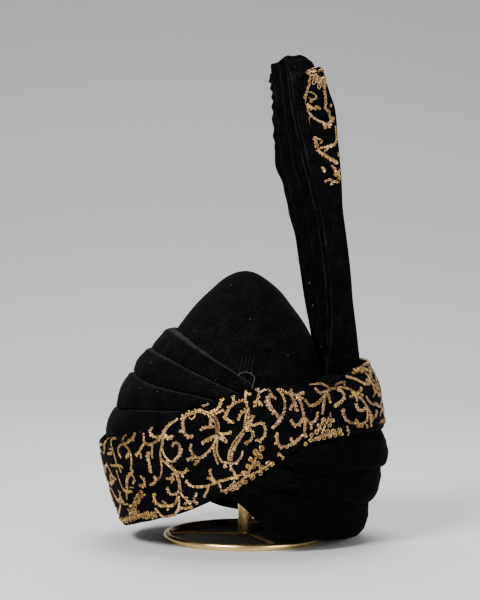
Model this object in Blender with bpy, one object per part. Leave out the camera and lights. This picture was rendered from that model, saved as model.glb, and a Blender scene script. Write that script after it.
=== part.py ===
"""Kulla cap on a display stand: velvet crown, stepped folds, embroidered band, pleated plume and brass stand.

Metres, +Z up, table at z = 0. The wearer's front is at -X and the plume is at the back, +X. Tables are in
millimetres. An azimuth is in degrees round the cap, 0 at the front, 90 at the near side (-Y), 180 at the back
and -90 at the far side.
"""

import math
from bisect import bisect_right
from collections import namedtuple

import bmesh
import bpy
from mathutils import Vector

MM = 0.001

# Driving sizes, in metres
GAP = 0.4 * MM
CROWN_GAP = 0.6 * MM
CROWN_WALL = 2.0 * MM
BAND_WALL = 3.2 * MM
BAND_BULGE = 2.0 * MM
RING_RADIUS = 68.0 * MM
WIRE_RADIUS = 3.0 * MM
SPOKE_RADIUS = 1.2 * MM
HUB_RADIUS = 5.0 * MM
HUB_BOTTOM = 2.9 * MM
HUB_TOP = 6.4 * MM
POST_RADIUS = 6.25 * MM
DISC_RADIUS = 34.0 * MM
DISC_THICKNESS = 3.0 * MM
DISC_ROUNDING = 0.9 * MM
DISC_TOP = 207.2 * MM
PLEAT_WALL = 1.2 * MM
PLEATS = 7
PANEL_WALL = 1.2 * MM

# Counts and angles
SMOOTH_ANGLE = 35.0
STATION_STEP = 7.5
WIRE_SIDES = 8
RING_STEPS = 48
SPOKE_SIDES = 8
SPOKE_AZIMUTHS = (56.0, 176.0, 296.0)
HUB_SIDES = 16
POST_SIDES = 32
DISC_SIDES = 48

# How the stacked pieces meet, in metres
FOLD_TUCK = 7.6 * MM
WRAP_TUCK = 3.6 * MM
SHOULDER_DROP = 5.0 * MM
EDGE_CLEARANCE = 3.0 * MM
FOLD_LIP = 1.6 * MM
FOLD_BULGE = 4.2 * MM
FIRST_FOLD_RISE = 3.0 * MM
THINNEST = 1.5 * MM
HEM_RECESS = 5.0 * MM
POCKET_FLOOR = 141.0 * MM
POCKET_HALF_ANGLE = 17.0
POCKET_BLEND = 9.0
LEDGE_START = 120.0
FAR_SIDE_REACH = 36.0
FAR_SIDE_FROM = 90.0
FAR_SIDE_TO = 150.0

# Outlines of the padded pieces: shares of a piece's height, from its top down
FOLD_SHARES = (0.0, 0.07, 0.22, 0.45, 0.7, 0.9, 1.0)
FOLD_LIP_FROM = -0.05
FOLD_LIP_TO = 0.07
FOLD_RISE_TO = 0.45
FOLD_BULGE_POWER = 0.8
FULL_FOLD = 12.0 * MM
WRAP_SHARES = (0.04, 0.2, 0.5, 0.78, 0.94, 1.0)
WRAP_BELLY = 0.5
WRAP_TURN_POWER = 2.2
WRAP_MOST_HIDDEN = 0.5
FULL_WRAP = 14.0 * MM
BASE_LEVELS = 4
INNER_LEVELS = 3
BASE_INNER_LEVELS = 6
BAND_SHARES = (0.25, 0.5, 0.75)

# Crown: outer radius towards the front, the sides and the back, by height
CrownRow = namedtuple("CrownRow", "height front side back")
CROWN = (
    CrownRow(0.0, 95.0, 82.0, 89.0),
    CrownRow(30.0, 99.0, 85.0, 92.0),
    CrownRow(60.0, 101.0, 87.0, 90.0),
    CrownRow(90.0, 99.0, 88.0, 84.0),
    CrownRow(120.0, 93.0, 88.0, 74.0),
    CrownRow(145.0, 82.0, 83.0, 65.5),
    CrownRow(165.0, 70.0, 71.0, 61.0),
    CrownRow(183.0, 59.0, 58.0, 54.0),
    CrownRow(195.0, 50.5, 48.5, 46.0),
    CrownRow(205.0, 42.0, 39.5, 38.5),
    CrownRow(216.0, 30.5, 29.0, 30.0),
    CrownRow(226.0, 18.0, 17.0, 18.0),
    CrownRow(231.5, 9.0, 9.0, 9.0),
)
CROWN_APEX = 233.0 * MM
CROWN_SKIRT_TOP = 90.0 * MM
CROWN_SKIRT_LOOPS = 3

# Band: heights of its two edges and their radii, by azimuth
BandRow = namedtuple("BandRow", "azimuth top bottom top_radius bottom_radius")
BAND = (
    BandRow(0, 86.0, 12.0, 128.0, 107.0),
    BandRow(30, 98.0, 21.0, 121.0, 105.0),
    BandRow(60, 120.0, 36.0, 106.0, 100.0),
    BandRow(90, 139.0, 61.0, 99.0, 98.0),
    BandRow(105, 142.0, 78.0, 99.5, 99.0),
    BandRow(120, 143.0, 92.0, 101.0, 103.0),
    BandRow(135, 145.0, 98.0, 103.5, 108.0),
    BandRow(150, 152.0, 101.0, 106.0, 114.0),
    BandRow(180, 154.0, 98.0, 108.0, 119.0),
)

# Upper folds: height of each fold's top edge, and the radius of the step there
FoldRow = namedtuple("FoldRow", "azimuth edge_1 edge_2 edge_3 edge_4 step_2 step_3 step_4 foot")
FOLDS = (
    FoldRow(0, 182.5, 165.5, 145.0, 113.5, 81.5, 97.0, 112.5, 120.0),
    FoldRow(30, 180.0, 163.0, 140.0, 118.0, 82.0, 96.5, 108.0, 115.0),
    FoldRow(60, 168.0, 151.0, 134.0, 120.0, 84.0, 94.0, 99.0, 101.5),
    FoldRow(90, 147.0, 134.0, 125.0, 118.0, 93.5, 94.0, 94.0, 94.4),
    FoldRow(105, 131.0, 122.0, 118.0, 115.0, 94.0, 94.0, 94.0, 94.4),
)
FOLD_ENDS = (97.5, 90.0, 75.0, 67.5)

# Lower wraps: height of each wrap's lower edge, and its radius at the belly and at that edge
WrapRow = namedtuple("WrapRow", "azimuth foot_a foot_b foot_c belly_a belly_b belly_c edge_a edge_b edge_c")
WRAPS = (
    WrapRow(45, 96.0, 72.0, 90.0, 100.0, 98.0, 98.0, 98.0, 97.0, 94.0),
    WrapRow(75, 90.0, 66.0, 62.0, 98.0, 96.5, 94.5, 96.5, 95.0, 90.5),
    WrapRow(90, 84.0, 59.0, 37.0, 100.5, 97.0, 93.0, 98.0, 94.5, 89.0),
    WrapRow(105, 77.0, 54.0, 18.0, 103.5, 98.5, 94.0, 100.0, 95.0, 88.5),
    WrapRow(120, 70.0, 50.0, 11.0, 107.5, 101.5, 96.0, 103.0, 97.0, 89.0),
    WrapRow(150, 70.0, 38.0, 6.0, 118.0, 112.0, 103.0, 112.5, 103.5, 95.0),
    WrapRow(180, 66.0, 31.0, 3.5, 124.5, 118.0, 107.0, 119.0, 108.0, 98.0),
)
# Each wrap runs from its near start over the back to its far end; the band is above the first one
WRAP_SPANS = {"a": (97.5, 262.5), "b": (82.5, 285.0), "c": (75.0, 307.5)}
ABOVE = {"a": "", "b": "a", "c": "b"}

# Plume: width, turn about the vertical, front line at mid-width and pleat depth, by height
FanRow = namedtuple("FanRow", "height width turn front depth")
FAN = (
    FanRow(141.4, 26.0, 11.7, 69.0, 27.0),
    FanRow(169.0, 38.0, 21.0, 66.5, 22.5),
    FanRow(208.0, 57.0, 22.9, 62.5, 17.0),
    FanRow(260.0, 82.0, 17.9, 56.0, 17.2),
    FanRow(280.0, 91.0, 18.0, 52.0, 17.2),
    FanRow(306.0, 103.0, 14.4, 47.5, 20.2),
    FanRow(322.0, 110.0, 14.8, 41.0, 24.3),
    FanRow(340.0, 119.0, 12.3, 38.0, 27.7),
    FanRow(372.0, 133.0, 8.1, 31.8, 33.6),
    FanRow(390.0, 141.0, 6.8, 30.0, 30.8),
    FanRow(409.0, 150.0, 5.8, 28.8, 25.0),
)
FAN_LONG_STEP = 25.0 * MM
FAN_CROWNING = 9.0 * MM
FAN_BACK_CROWNING = 3.0 * MM
PANEL_BOTTOM = 306.0 * MM
PANEL_LEFT = 0.30

# Finishes: colour, roughness, metallic
VELVET = ("black_velvet", (0.010, 0.010, 0.011), 0.92, 0.0)
EMBROIDERY = ("gold_embroidered_velvet", (0.26, 0.17, 0.07), 0.55, 0.0)
BRASS = ("polished_brass", (0.78, 0.55, 0.24), 0.22, 1.0)


def smooth(rows, column, at):
    """Reads a named column on a smooth curve through the rows, keyed by their first column."""
    keys = [row[0] for row in rows]
    values = [getattr(row, column) for row in rows]
    if at <= keys[0]:
        return values[0]
    if at >= keys[-1]:
        return values[-1]
    i = bisect_right(keys, at) - 1
    span = keys[i + 1] - keys[i]
    t = (at - keys[i]) / span

    def slope(k):
        if k in (0, len(keys) - 1):
            return 0.0
        return (values[k + 1] - values[k - 1]) / (keys[k + 1] - keys[k - 1])

    rise = values[i + 1] - values[i]
    start = slope(i) * span
    end = slope(i + 1) * span
    return values[i] + t * start + t * t * (3 * rise - 2 * start - end) + t**3 * (start + end - 2 * rise)


def step(low, high, at):
    """Rises smoothly from 0 at low to 1 at high."""
    t = min(1.0, max(0.0, (at - low) / (high - low)))
    return t * t * (3 - 2 * t)


def fold_over(azimuth):
    """The azimuth's distance from the front, 0 to 180, the same on both sides."""
    turned = azimuth % 360
    return min(turned, 360 - turned)


def is_far(azimuth):
    return azimuth % 360 > 180


def band_value(column, azimuth):
    return smooth(BAND, column, fold_over(azimuth)) * MM


def fold_value(column, azimuth):
    return smooth(FOLDS, column, fold_over(azimuth)) * MM


def wrap_radius(column, azimuth):
    return smooth(WRAPS, column, fold_over(azimuth)) * MM


def wrap_height(column, azimuth):
    """The far side's wraps reach further round to the front than the near side's."""
    away = fold_over(azimuth)
    if is_far(azimuth):
        away += FAR_SIDE_REACH * (1 - step(FAR_SIDE_FROM, FAR_SIDE_TO, away))
    return smooth(WRAPS, column, away) * MM


def crown_radius(azimuth, height):
    """Outer radius of the crown."""
    angle = math.radians(azimuth)
    fore = math.cos(angle) ** 2
    end = "front" if math.cos(angle) > 0 else "back"
    at = height / MM
    return (fore * smooth(CROWN, end, at) + (1 - fore) * smooth(CROWN, "side", at)) * MM


def band_radius(azimuth, height):
    """Outer radius of the band, also a little past its edges."""
    top = band_value("top", azimuth)
    bottom = band_value("bottom", azimuth)
    share = (height - bottom) / (top - bottom)
    low = band_value("bottom_radius", azimuth)
    straight = low + (band_value("top_radius", azimuth) - low) * share
    return straight + BAND_BULGE * math.sin(math.pi * min(1.0, max(0.0, share)))


def under_band(azimuth, height):
    """Radius of what lies against the band's inner side."""
    return band_radius(azimuth, height) - BAND_WALL - GAP


def hem_height(azimuth):
    """Lowest edge of the cap at an azimuth."""
    return min(band_value("bottom", azimuth), wrap_height("foot_c", azimuth))


def place(azimuth, radius, height):
    angle = math.radians(azimuth)
    return Vector((-radius * math.cos(angle), -radius * math.sin(angle), height))


def stations(first, last):
    """Azimuths from first to last, both included, on the common step."""
    count = round((last - first) / STATION_STEP)
    return [first + STATION_STEP * k for k in range(count + 1)]


def material(finish):
    name, colour, roughness, metallic = finish
    found = bpy.data.materials.get(name)
    if found:
        return found
    made = bpy.data.materials.new(name)
    made.use_nodes = True
    shader = made.node_tree.nodes["Principled BSDF"]
    shader.inputs["Base Color"].default_value = (*colour, 1.0)
    shader.inputs["Roughness"].default_value = roughness
    shader.inputs["Metallic"].default_value = metallic
    made.diffuse_color = (*colour, 1.0)
    return made


def new_object(name, bm, finish):
    """Turns a bmesh into a named, shaded object."""
    bmesh.ops.recalc_face_normals(bm, faces=bm.faces)
    mesh = bpy.data.meshes.new(name)
    bm.to_mesh(mesh)
    bm.free()
    mesh.shade_smooth()
    mesh.set_sharp_from_angle(angle=math.radians(SMOOTH_ANGLE))
    mesh.materials.append(material(finish))
    made = bpy.data.objects.new(name, mesh)
    bpy.context.scene.collection.objects.link(made)
    return made


def add_loops(bm, loops):
    return [[bm.verts.new(point) for point in loop] for loop in loops]


def bridge(bm, first, second):
    """Joins two closed loops of the same length with a belt of faces."""
    for k, vert in enumerate(first):
        after = (k + 1) % len(first)
        bm.faces.new((vert, first[after], second[after], second[k]))


def loft(name, sections, finish, closed):
    """Skins closed sections in order, round into a ring or with a cap at each end."""
    bm = bmesh.new()
    loops = add_loops(bm, sections)
    for first, second in zip(loops, loops[1:]):
        bridge(bm, first, second)
    if closed:
        bridge(bm, loops[-1], loops[0])
    else:
        caps = [bm.faces.new(loops[0]), bm.faces.new(loops[-1])]
        bmesh.ops.triangulate(bm, faces=caps)
    return new_object(name, bm, finish)


def crown_sides(azimuth, top, bottom, count):
    """Points up the crown's outside with the gap, for the inner face of a piece wound on it."""
    points = []
    for k in range(count):
        height = bottom + (top - bottom) * k / (count - 1)
        points.append((crown_radius(azimuth, height) + CROWN_GAP, height))
    return points


def make_crown():
    """A cone with a rounded top, open below, its wall inside the outer surface."""
    bm = bmesh.new()
    ring = stations(0, 360 - STATION_STEP)
    heights = [row.height * MM for row in CROWN if row.height * MM >= CROWN_SKIRT_TOP]
    loops = []
    for k in range(CROWN_SKIRT_LOOPS, 0, -1):
        loop = []
        for azimuth in ring:
            bottom = hem_height(azimuth) + HEM_RECESS
            height = CROWN_SKIRT_TOP + (bottom - CROWN_SKIRT_TOP) * k / CROWN_SKIRT_LOOPS
            loop.append(place(azimuth, crown_radius(azimuth, height), height))
        loops.append(loop)
    for height in heights:
        loops.append([place(azimuth, crown_radius(azimuth, height), height) for azimuth in ring])
    rings = add_loops(bm, loops)
    for first, second in zip(rings, rings[1:]):
        bridge(bm, first, second)
    apex = bm.verts.new((0, 0, CROWN_APEX))
    last = rings[-1]
    for k, vert in enumerate(last):
        bm.faces.new((vert, last[(k + 1) % len(last)], apex))
    crown = new_object("crown", bm, VELVET)
    wall = crown.modifiers.new("wall", "SOLIDIFY")
    wall.thickness = CROWN_WALL
    wall.offset = -1.0
    wall.use_even_offset = True


def band_section(azimuth):
    """Outline of the band's cloth, with rounded edges."""
    top = band_value("top", azimuth)
    bottom = band_value("bottom", azimuth)
    edge = BAND_WALL / 2
    heights = [bottom + edge * 0.5]
    heights += [bottom + (top - bottom) * share for share in BAND_SHARES]
    heights += [top - edge * 0.5]
    points = [(band_radius(azimuth, height), height) for height in heights]
    points.append((band_radius(azimuth, top) - edge, top))
    points += [(band_radius(azimuth, height) - BAND_WALL, height) for height in reversed(heights)]
    points.append((band_radius(azimuth, bottom) - edge, bottom))
    return [place(azimuth, radius, height) for radius, height in points]


def make_band():
    sections = [band_section(azimuth) for azimuth in stations(0, 360 - STATION_STEP)]
    loft("band", sections, EMBROIDERY, closed=True)


def shoulder(azimuth):
    """Height of the wound base's top: under the folds in front, a ledge behind, lowest at the plume."""
    top = band_value("top", azimuth)
    away = fold_over(azimuth)
    under_folds = top - FOLD_TUCK - GAP
    ledge = top - SHOULDER_DROP
    height = under_folds + (ledge - under_folds) * step(FOLD_ENDS[0], LEDGE_START, away)
    from_back = 180 - away
    beside_plume = step(POCKET_HALF_ANGLE, POCKET_HALF_ANGLE + POCKET_BLEND, from_back)
    return POCKET_FLOOR + (height - POCKET_FLOOR) * beside_plume


def base_section(azimuth):
    """The wound base fills the space between the crown and the band."""
    top = shoulder(azimuth)
    bottom = band_value("bottom", azimuth) + WRAP_TUCK + GAP
    heights = [bottom + (top - bottom) * k / (BASE_LEVELS - 1) for k in range(BASE_LEVELS)]
    points = [(under_band(azimuth, height), height) for height in heights]
    points += crown_sides(azimuth, top, bottom, BASE_INNER_LEVELS)[::-1]
    return [place(azimuth, radius, height) for radius, height in points]


def make_wound_base():
    sections = [base_section(azimuth) for azimuth in stations(0, 360 - STATION_STEP)]
    loft("wound_base", sections, VELVET, closed=True)


def fold_level(index, azimuth):
    """Height and step radius of a fold's top edge; index 4 is where the folds go under the band."""
    tuck = band_value("top", azimuth) - FOLD_TUCK
    foot = min(fold_value("foot", azimuth), under_band(azimuth, tuck))
    if index == 4:
        return tuck, foot
    height = max(tuck, fold_value(f"edge_{index + 1}", azimuth))
    if index == 0:
        return height, crown_radius(azimuth, height) + 2 * GAP
    return height, fold_value(f"step_{index + 1}", azimuth)


def fold_section(index, azimuth):
    """A padded fold: a lip at its top edge, a rounded face, and its back on the crown."""
    top, step_radius = fold_level(index, azimuth)
    bottom, foot_radius = fold_level(index + 1, azimuth)
    top -= GAP / 2
    bottom += GAP / 2
    tall = top - bottom
    fullness = min(1.0, tall / FULL_FOLD)
    lift = FIRST_FOLD_RISE * fullness if index == 0 else 0.0
    points = []
    for share in FOLD_SHARES:
        radius = step_radius + (foot_radius - step_radius) * share
        lip = FOLD_LIP * (1 - share) * step(FOLD_LIP_FROM, FOLD_LIP_TO, share)
        bulge = FOLD_BULGE * math.sin(math.pi * share**FOLD_BULGE_POWER)
        rise = lift * math.sin(math.pi * min(1.0, share / FOLD_RISE_TO))
        height = top - tall * share + rise
        radius += (lip + bulge) * fullness
        if height < band_value("top", azimuth) + EDGE_CLEARANCE:
            radius = min(radius, under_band(azimuth, height))
        points.append((radius, height))
    points += crown_sides(azimuth, top, bottom, INNER_LEVELS)
    return [place(azimuth, radius, height) for radius, height in points]


def make_upper_folds():
    for index, end in enumerate(FOLD_ENDS):
        sections = [fold_section(index, azimuth) for azimuth in stations(-end, end)]
        loft(f"upper_fold_{index + 1}", sections, VELVET, closed=False)


def wrap_level(letter, azimuth):
    """Height where a wrap ends below and the next one begins; an empty letter is the band's underside."""
    under = band_value("bottom", azimuth) + WRAP_TUCK
    if not letter:
        return under
    above = wrap_level(ABOVE[letter], azimuth)
    first, last = WRAP_SPANS[letter]
    if not first <= azimuth % 360 <= last:
        return above
    return min(above - THINNEST, wrap_height(f"foot_{letter}", azimuth))


def wrap_section(letter, azimuth):
    """A padded wrap that bellies out below the piece above it and turns in at its lower edge."""
    above = ABOVE[letter]
    top = wrap_level(above, azimuth) - GAP / 2
    bottom = wrap_level(letter, azimuth) + GAP / 2
    tall = top - bottom
    fullness = min(1.0, tall / FULL_WRAP)
    band_bottom = band_value("bottom", azimuth)
    limit = min(under_band(azimuth, band_bottom), under_band(azimuth, band_bottom + WRAP_TUCK)) - GAP
    start = limit
    if above:
        start = min(limit, wrap_radius(f"edge_{above}", azimuth))
    belly = start + (wrap_radius(f"belly_{letter}", azimuth) - start) * fullness
    foot = start + (wrap_radius(f"edge_{letter}", azimuth) - start) * fullness
    band_edge = band_bottom - GAP
    hidden = min(WRAP_MOST_HIDDEN, max(0.0, top - band_edge) / tall)
    points = [(start, top)]
    for share in WRAP_SHARES:
        swell = math.sin(min(1.0, share / WRAP_BELLY) * math.pi / 2)
        turn_in = max(0.0, share / WRAP_BELLY - 1) ** WRAP_TURN_POWER
        radius = start + (belly - start) * swell + (foot - belly) * turn_in
        height = top - tall * (hidden + (1 - hidden) * share)
        if height > band_edge - GAP:
            radius = min(radius, limit)
        points.append((radius, height))
    points += crown_sides(azimuth, top, bottom, INNER_LEVELS)
    return [place(azimuth, radius, height) for radius, height in points]


def make_lower_wraps():
    for letter, (first, last) in WRAP_SPANS.items():
        sections = [wrap_section(letter, azimuth) for azimuth in stations(first, last)]
        loft(f"lower_wrap_{letter}", sections, VELVET, closed=False)


def fan_heights():
    """Each row of the plume's table, and the height halfway to the next one where that is far."""
    rows = [row.height * MM for row in FAN]
    between = [(low + high) / 2 for low, high in zip(rows, rows[1:]) if high - low > FAN_LONG_STEP]
    return sorted(rows + between)


def fan_fold(height, index):
    """Plan point of a pleat's fold: even ones at the back of the plume, odd ones at its front."""
    at = height / MM
    width = smooth(FAN, "width", at) * MM
    turn = math.radians(smooth(FAN, "turn", at))
    across = -width / 2 + width * index / (2 * PLEATS)
    along = Vector((-math.sin(turn), math.cos(turn)))
    deep = Vector((math.cos(turn), math.sin(turn)))
    back = smooth(FAN, "depth", at) * MM if index % 2 == 0 else 0.0
    return Vector((smooth(FAN, "front", at) * MM, 0.0)) + along * across + deep * back


def fan_level(height, index):
    """The plume's top is an arc, higher at mid-width than at its two ends, and highest at the front folds."""
    base = FAN[0].height * MM
    share = (height - base) / (FAN[-1].height * MM - base)
    offset = index / PLEATS - 1
    crowning = FAN_CROWNING if index % 2 else FAN_BACK_CROWNING
    return height + crowning * share**2 * (1 - offset**2)


def side_normal(first, second):
    """Unit normal of a plan segment, to the right of its run."""
    run = (second - first).normalized()
    return Vector((run.y, -run.x))


def fan_section(height):
    """Outline of the pleated cloth in plan: its near face one way and its far face back."""
    folds = [fan_fold(height, k) for k in range(2 * PLEATS + 1)]
    normals = [side_normal(a, b) for a, b in zip(folds, folds[1:])]
    half = PLEAT_WALL / 2
    faces = []
    for side in (1, -1):
        face = [(folds[0] + normals[0] * side * half, 0)]
        for k in range(1, 2 * PLEATS):
            before = normals[k - 1] * side
            after = normals[k] * side
            turns_out = (k % 2 == 1) == (side == -1)
            if turns_out:
                face.append((folds[k] + before * half, k))
                face.append((folds[k] + after * half, k))
            else:
                mitre = (before + after) / (1 + before.dot(after))
                face.append((folds[k] + mitre * half, k))
        face.append((folds[-1] + normals[-1] * side * half, 2 * PLEATS))
        faces.append(face)
    outline = faces[0] + faces[1][::-1]
    return [Vector((point.x, point.y, fan_level(height, k))) for point, k in outline]


def make_fan():
    sections = [fan_section(height) for height in fan_heights()]
    loft("turra_fan", sections, VELVET, closed=False)


def panel_section(height):
    """The embroidered strip lies on the plume's nearest pleat, up to its back edge."""
    back = fan_fold(height, 0)
    front = fan_fold(height, 1)
    out = side_normal(front, back)
    left = front + (back - front) * PANEL_LEFT
    near = PLEAT_WALL / 2 + GAP
    far = near + PANEL_WALL
    plan = [left + out * near, back + out * near, back + out * far, left + out * far]
    return [Vector((point.x, point.y, height)) for point in plan]


def make_panel():
    heights = [height for height in fan_heights() if height >= PANEL_BOTTOM]
    loft("turra_panel", [panel_section(height) for height in heights], EMBROIDERY, closed=False)


def make_wire_ring():
    """The wire's outline has a flat below, so that the ring stands on the table."""
    bm = bmesh.new()
    turn = math.pi / WIRE_SIDES
    flat = WIRE_RADIUS * math.cos(turn)
    profile = []
    for k in range(WIRE_SIDES):
        angle = 2 * math.pi * k / WIRE_SIDES + turn
        across = RING_RADIUS + WIRE_RADIUS * math.cos(angle)
        profile.append(bm.verts.new((across, 0, flat + WIRE_RADIUS * math.sin(angle))))
    edges = [bm.edges.new((profile[k], profile[(k + 1) % WIRE_SIDES])) for k in range(WIRE_SIDES)]
    bmesh.ops.spin(
        bm,
        geom=profile + edges,
        axis=(0, 0, 1),
        cent=(0, 0, 0),
        angle=2 * math.pi,
        steps=RING_STEPS,
        use_merge=True,
    )
    bmesh.ops.remove_doubles(bm, verts=bm.verts, dist=0.00001)
    return new_object("stand_base", bm, BRASS)


def make_rod(name, start, end, radius, sides):
    """A straight round rod between two points."""
    bm = bmesh.new()
    bmesh.ops.create_cone(
        bm, cap_ends=True, segments=sides, radius1=radius, radius2=radius, depth=(end - start).length
    )
    rod = new_object(name, bm, BRASS)
    rod.location = (start + end) / 2
    rod.rotation_euler = (end - start).to_track_quat("Z", "Y").to_euler()
    return rod


def join(body, other):
    """Adds a helper shape to a body, and keeps the helper out of the model."""
    other.hide_render = True
    other.display_type = "WIRE"
    union = body.modifiers.new(other.name, "BOOLEAN")
    union.operation = "UNION"
    union.solver = "EXACT"
    union.object = other


def make_stand():
    """Ring, spokes and hub are soldered into one solid; the post and its disc stand on it."""
    base = make_wire_ring()
    hub_middle = (HUB_BOTTOM + HUB_TOP) / 2
    for k, azimuth in enumerate(SPOKE_AZIMUTHS):
        angle = math.radians(azimuth)
        reach = Vector((math.cos(angle), math.sin(angle), 0)) * RING_RADIUS
        outer_end = reach + Vector((0, 0, WIRE_RADIUS))
        inner_end = Vector((0, 0, hub_middle))
        join(base, make_rod(f"spoke_{k + 1}", outer_end, inner_end, SPOKE_RADIUS, SPOKE_SIDES))
    hub = make_rod("hub", Vector((0, 0, HUB_BOTTOM)), Vector((0, 0, HUB_TOP)), HUB_RADIUS, HUB_SIDES)
    join(base, hub)
    post_bottom = Vector((0, 0, HUB_TOP + GAP))
    disc_bottom = DISC_TOP - DISC_THICKNESS
    post_top = Vector((0, 0, disc_bottom - GAP))
    make_rod("stand_post", post_bottom, post_top, POST_RADIUS, POST_SIDES)
    disc = make_rod(
        "stand_disc", Vector((0, 0, disc_bottom)), Vector((0, 0, DISC_TOP)), DISC_RADIUS, DISC_SIDES
    )
    rounding = disc.modifiers.new("rounding", "BEVEL")
    rounding.width = DISC_ROUNDING
    rounding.segments = 2
    rounding.limit_method = "ANGLE"


def main():
    for existing in list(bpy.data.objects):
        bpy.data.objects.remove(existing)
    make_crown()
    make_upper_folds()
    make_wound_base()
    make_lower_wraps()
    make_band()
    make_fan()
    make_panel()
    make_stand()


main()
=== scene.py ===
"""Looks of a kulla cap on its display stand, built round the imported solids.

Metres, +Z up, table at z = 0. The wearer's front is at -X, the plume at +X and the near side at -Y. An
azimuth is in degrees round the cap: 0 at the front, 90 at the near side, 180 at the back. Charts and tables
are in millimetres.
"""

from __future__ import annotations

import logging
import math
from collections.abc import Callable, Sequence
from dataclasses import dataclass, field
from enum import Enum
from typing import Any, NamedTuple, Union

import bpy
import numpy as np
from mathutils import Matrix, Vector
from mathutils.bvhtree import BVHTree

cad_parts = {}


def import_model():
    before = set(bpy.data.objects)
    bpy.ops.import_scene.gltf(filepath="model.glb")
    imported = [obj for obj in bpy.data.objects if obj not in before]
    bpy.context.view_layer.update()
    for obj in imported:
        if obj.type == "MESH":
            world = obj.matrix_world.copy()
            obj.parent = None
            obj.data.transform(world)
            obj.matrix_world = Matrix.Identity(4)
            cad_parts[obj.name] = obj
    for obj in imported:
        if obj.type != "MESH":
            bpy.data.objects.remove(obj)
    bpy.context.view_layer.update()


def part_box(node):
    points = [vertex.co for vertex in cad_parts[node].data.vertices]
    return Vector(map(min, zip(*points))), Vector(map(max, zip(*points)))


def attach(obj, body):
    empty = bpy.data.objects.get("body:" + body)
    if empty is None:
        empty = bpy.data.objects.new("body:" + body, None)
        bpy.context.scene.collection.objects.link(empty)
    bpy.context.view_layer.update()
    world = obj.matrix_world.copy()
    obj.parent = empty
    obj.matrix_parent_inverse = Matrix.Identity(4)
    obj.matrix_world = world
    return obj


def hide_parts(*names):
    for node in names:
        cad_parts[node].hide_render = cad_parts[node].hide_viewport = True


MM = 0.001
TURN = 2.0 * math.pi
TINY = 1e-12
WAVE_LENGTHS = (0.7, 1.5)
SPLINE_STEPS = 12
MERGE = 0.01 * MM
FLAT = math.radians(60)
LOG = logging.getLogger("kulla_cap")

Colour = tuple[float, float, float]
Span = tuple[float, float]
Hit = Union[tuple[Vector, Vector], None]
Operand = Union["Value", float]


class Slot(Enum):
    """Material slots of the record."""

    VELVET = "black_velvet"
    EMBROIDERY = "gold_embroidered_velvet"
    BRASS = "polished_brass"


class Value:
    """A node's output socket that takes part in arithmetic by adding Math nodes."""

    def __init__(self, shader: Shader, socket: bpy.types.NodeSocket) -> None:
        """Wraps a socket of a shader."""
        self.shader = shader
        self.socket = socket

    def _math(self, operation: str, first: Operand, second: Operand = 0.0) -> Value:
        """Adds one Math node and gives its result."""
        node = self.shader.node("ShaderNodeMath", {"operation": operation}, {0: first, 1: second})
        return Value(self.shader, node.outputs[0])

    def __add__(self, other: Operand) -> Value:
        """Sum."""
        return self._math("ADD", self, other)

    __radd__ = __add__

    def __sub__(self, other: Operand) -> Value:
        """Difference."""
        return self._math("SUBTRACT", self, other)

    def __rsub__(self, other: Operand) -> Value:
        """Difference, the other way round."""
        return self._math("SUBTRACT", other, self)

    def __mul__(self, other: Operand) -> Value:
        """Product."""
        return self._math("MULTIPLY", self, other)

    __rmul__ = __mul__

    def __truediv__(self, other: Operand) -> Value:
        """Quotient."""
        return self._math("DIVIDE", self, other)

    def __pow__(self, other: float) -> Value:
        """Power."""
        return self._math("POWER", self, other)

    def __abs__(self) -> Value:
        """Size without sign."""
        return self._math("ABSOLUTE", self)

    def sine(self) -> Value:
        """Sine of an angle in radians."""
        return self._math("SINE", self)

    def fraction(self) -> Value:
        """Part after the decimal point."""
        return self._math("FRACT", self)

    def below(self, limit: float) -> Value:
        """1 where the value is under the limit, 0 elsewhere."""
        return self._math("LESS_THAN", self, limit)

    def above(self, least: float) -> Value:
        """Squeezes 0 to 1 into least to 1."""
        return least + (1.0 - least) * self

    def ease(self, low: float, high: float) -> Value:
        """Rises smoothly from 0 at low to 1 at high.

        Args:
            low: the value that gives 0.
            high: the value that gives 1; it may be the smaller one.

        Returns:
            The eased value.
        """
        settings = {"interpolation_type": "SMOOTHSTEP"}
        inputs = {"Value": self, "From Min": low, "From Max": high, "To Min": 0.0, "To Max": 1.0}
        node = self.shader.node("ShaderNodeMapRange", settings, inputs)
        return Value(self.shader, node.outputs["Result"])


class Layer(NamedTuple):
    """A layer of noise: the size of its patches in metres, its detail, and the noise that gives 0 and 1."""

    size: float
    detail: float
    low: float
    high: float


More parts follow.
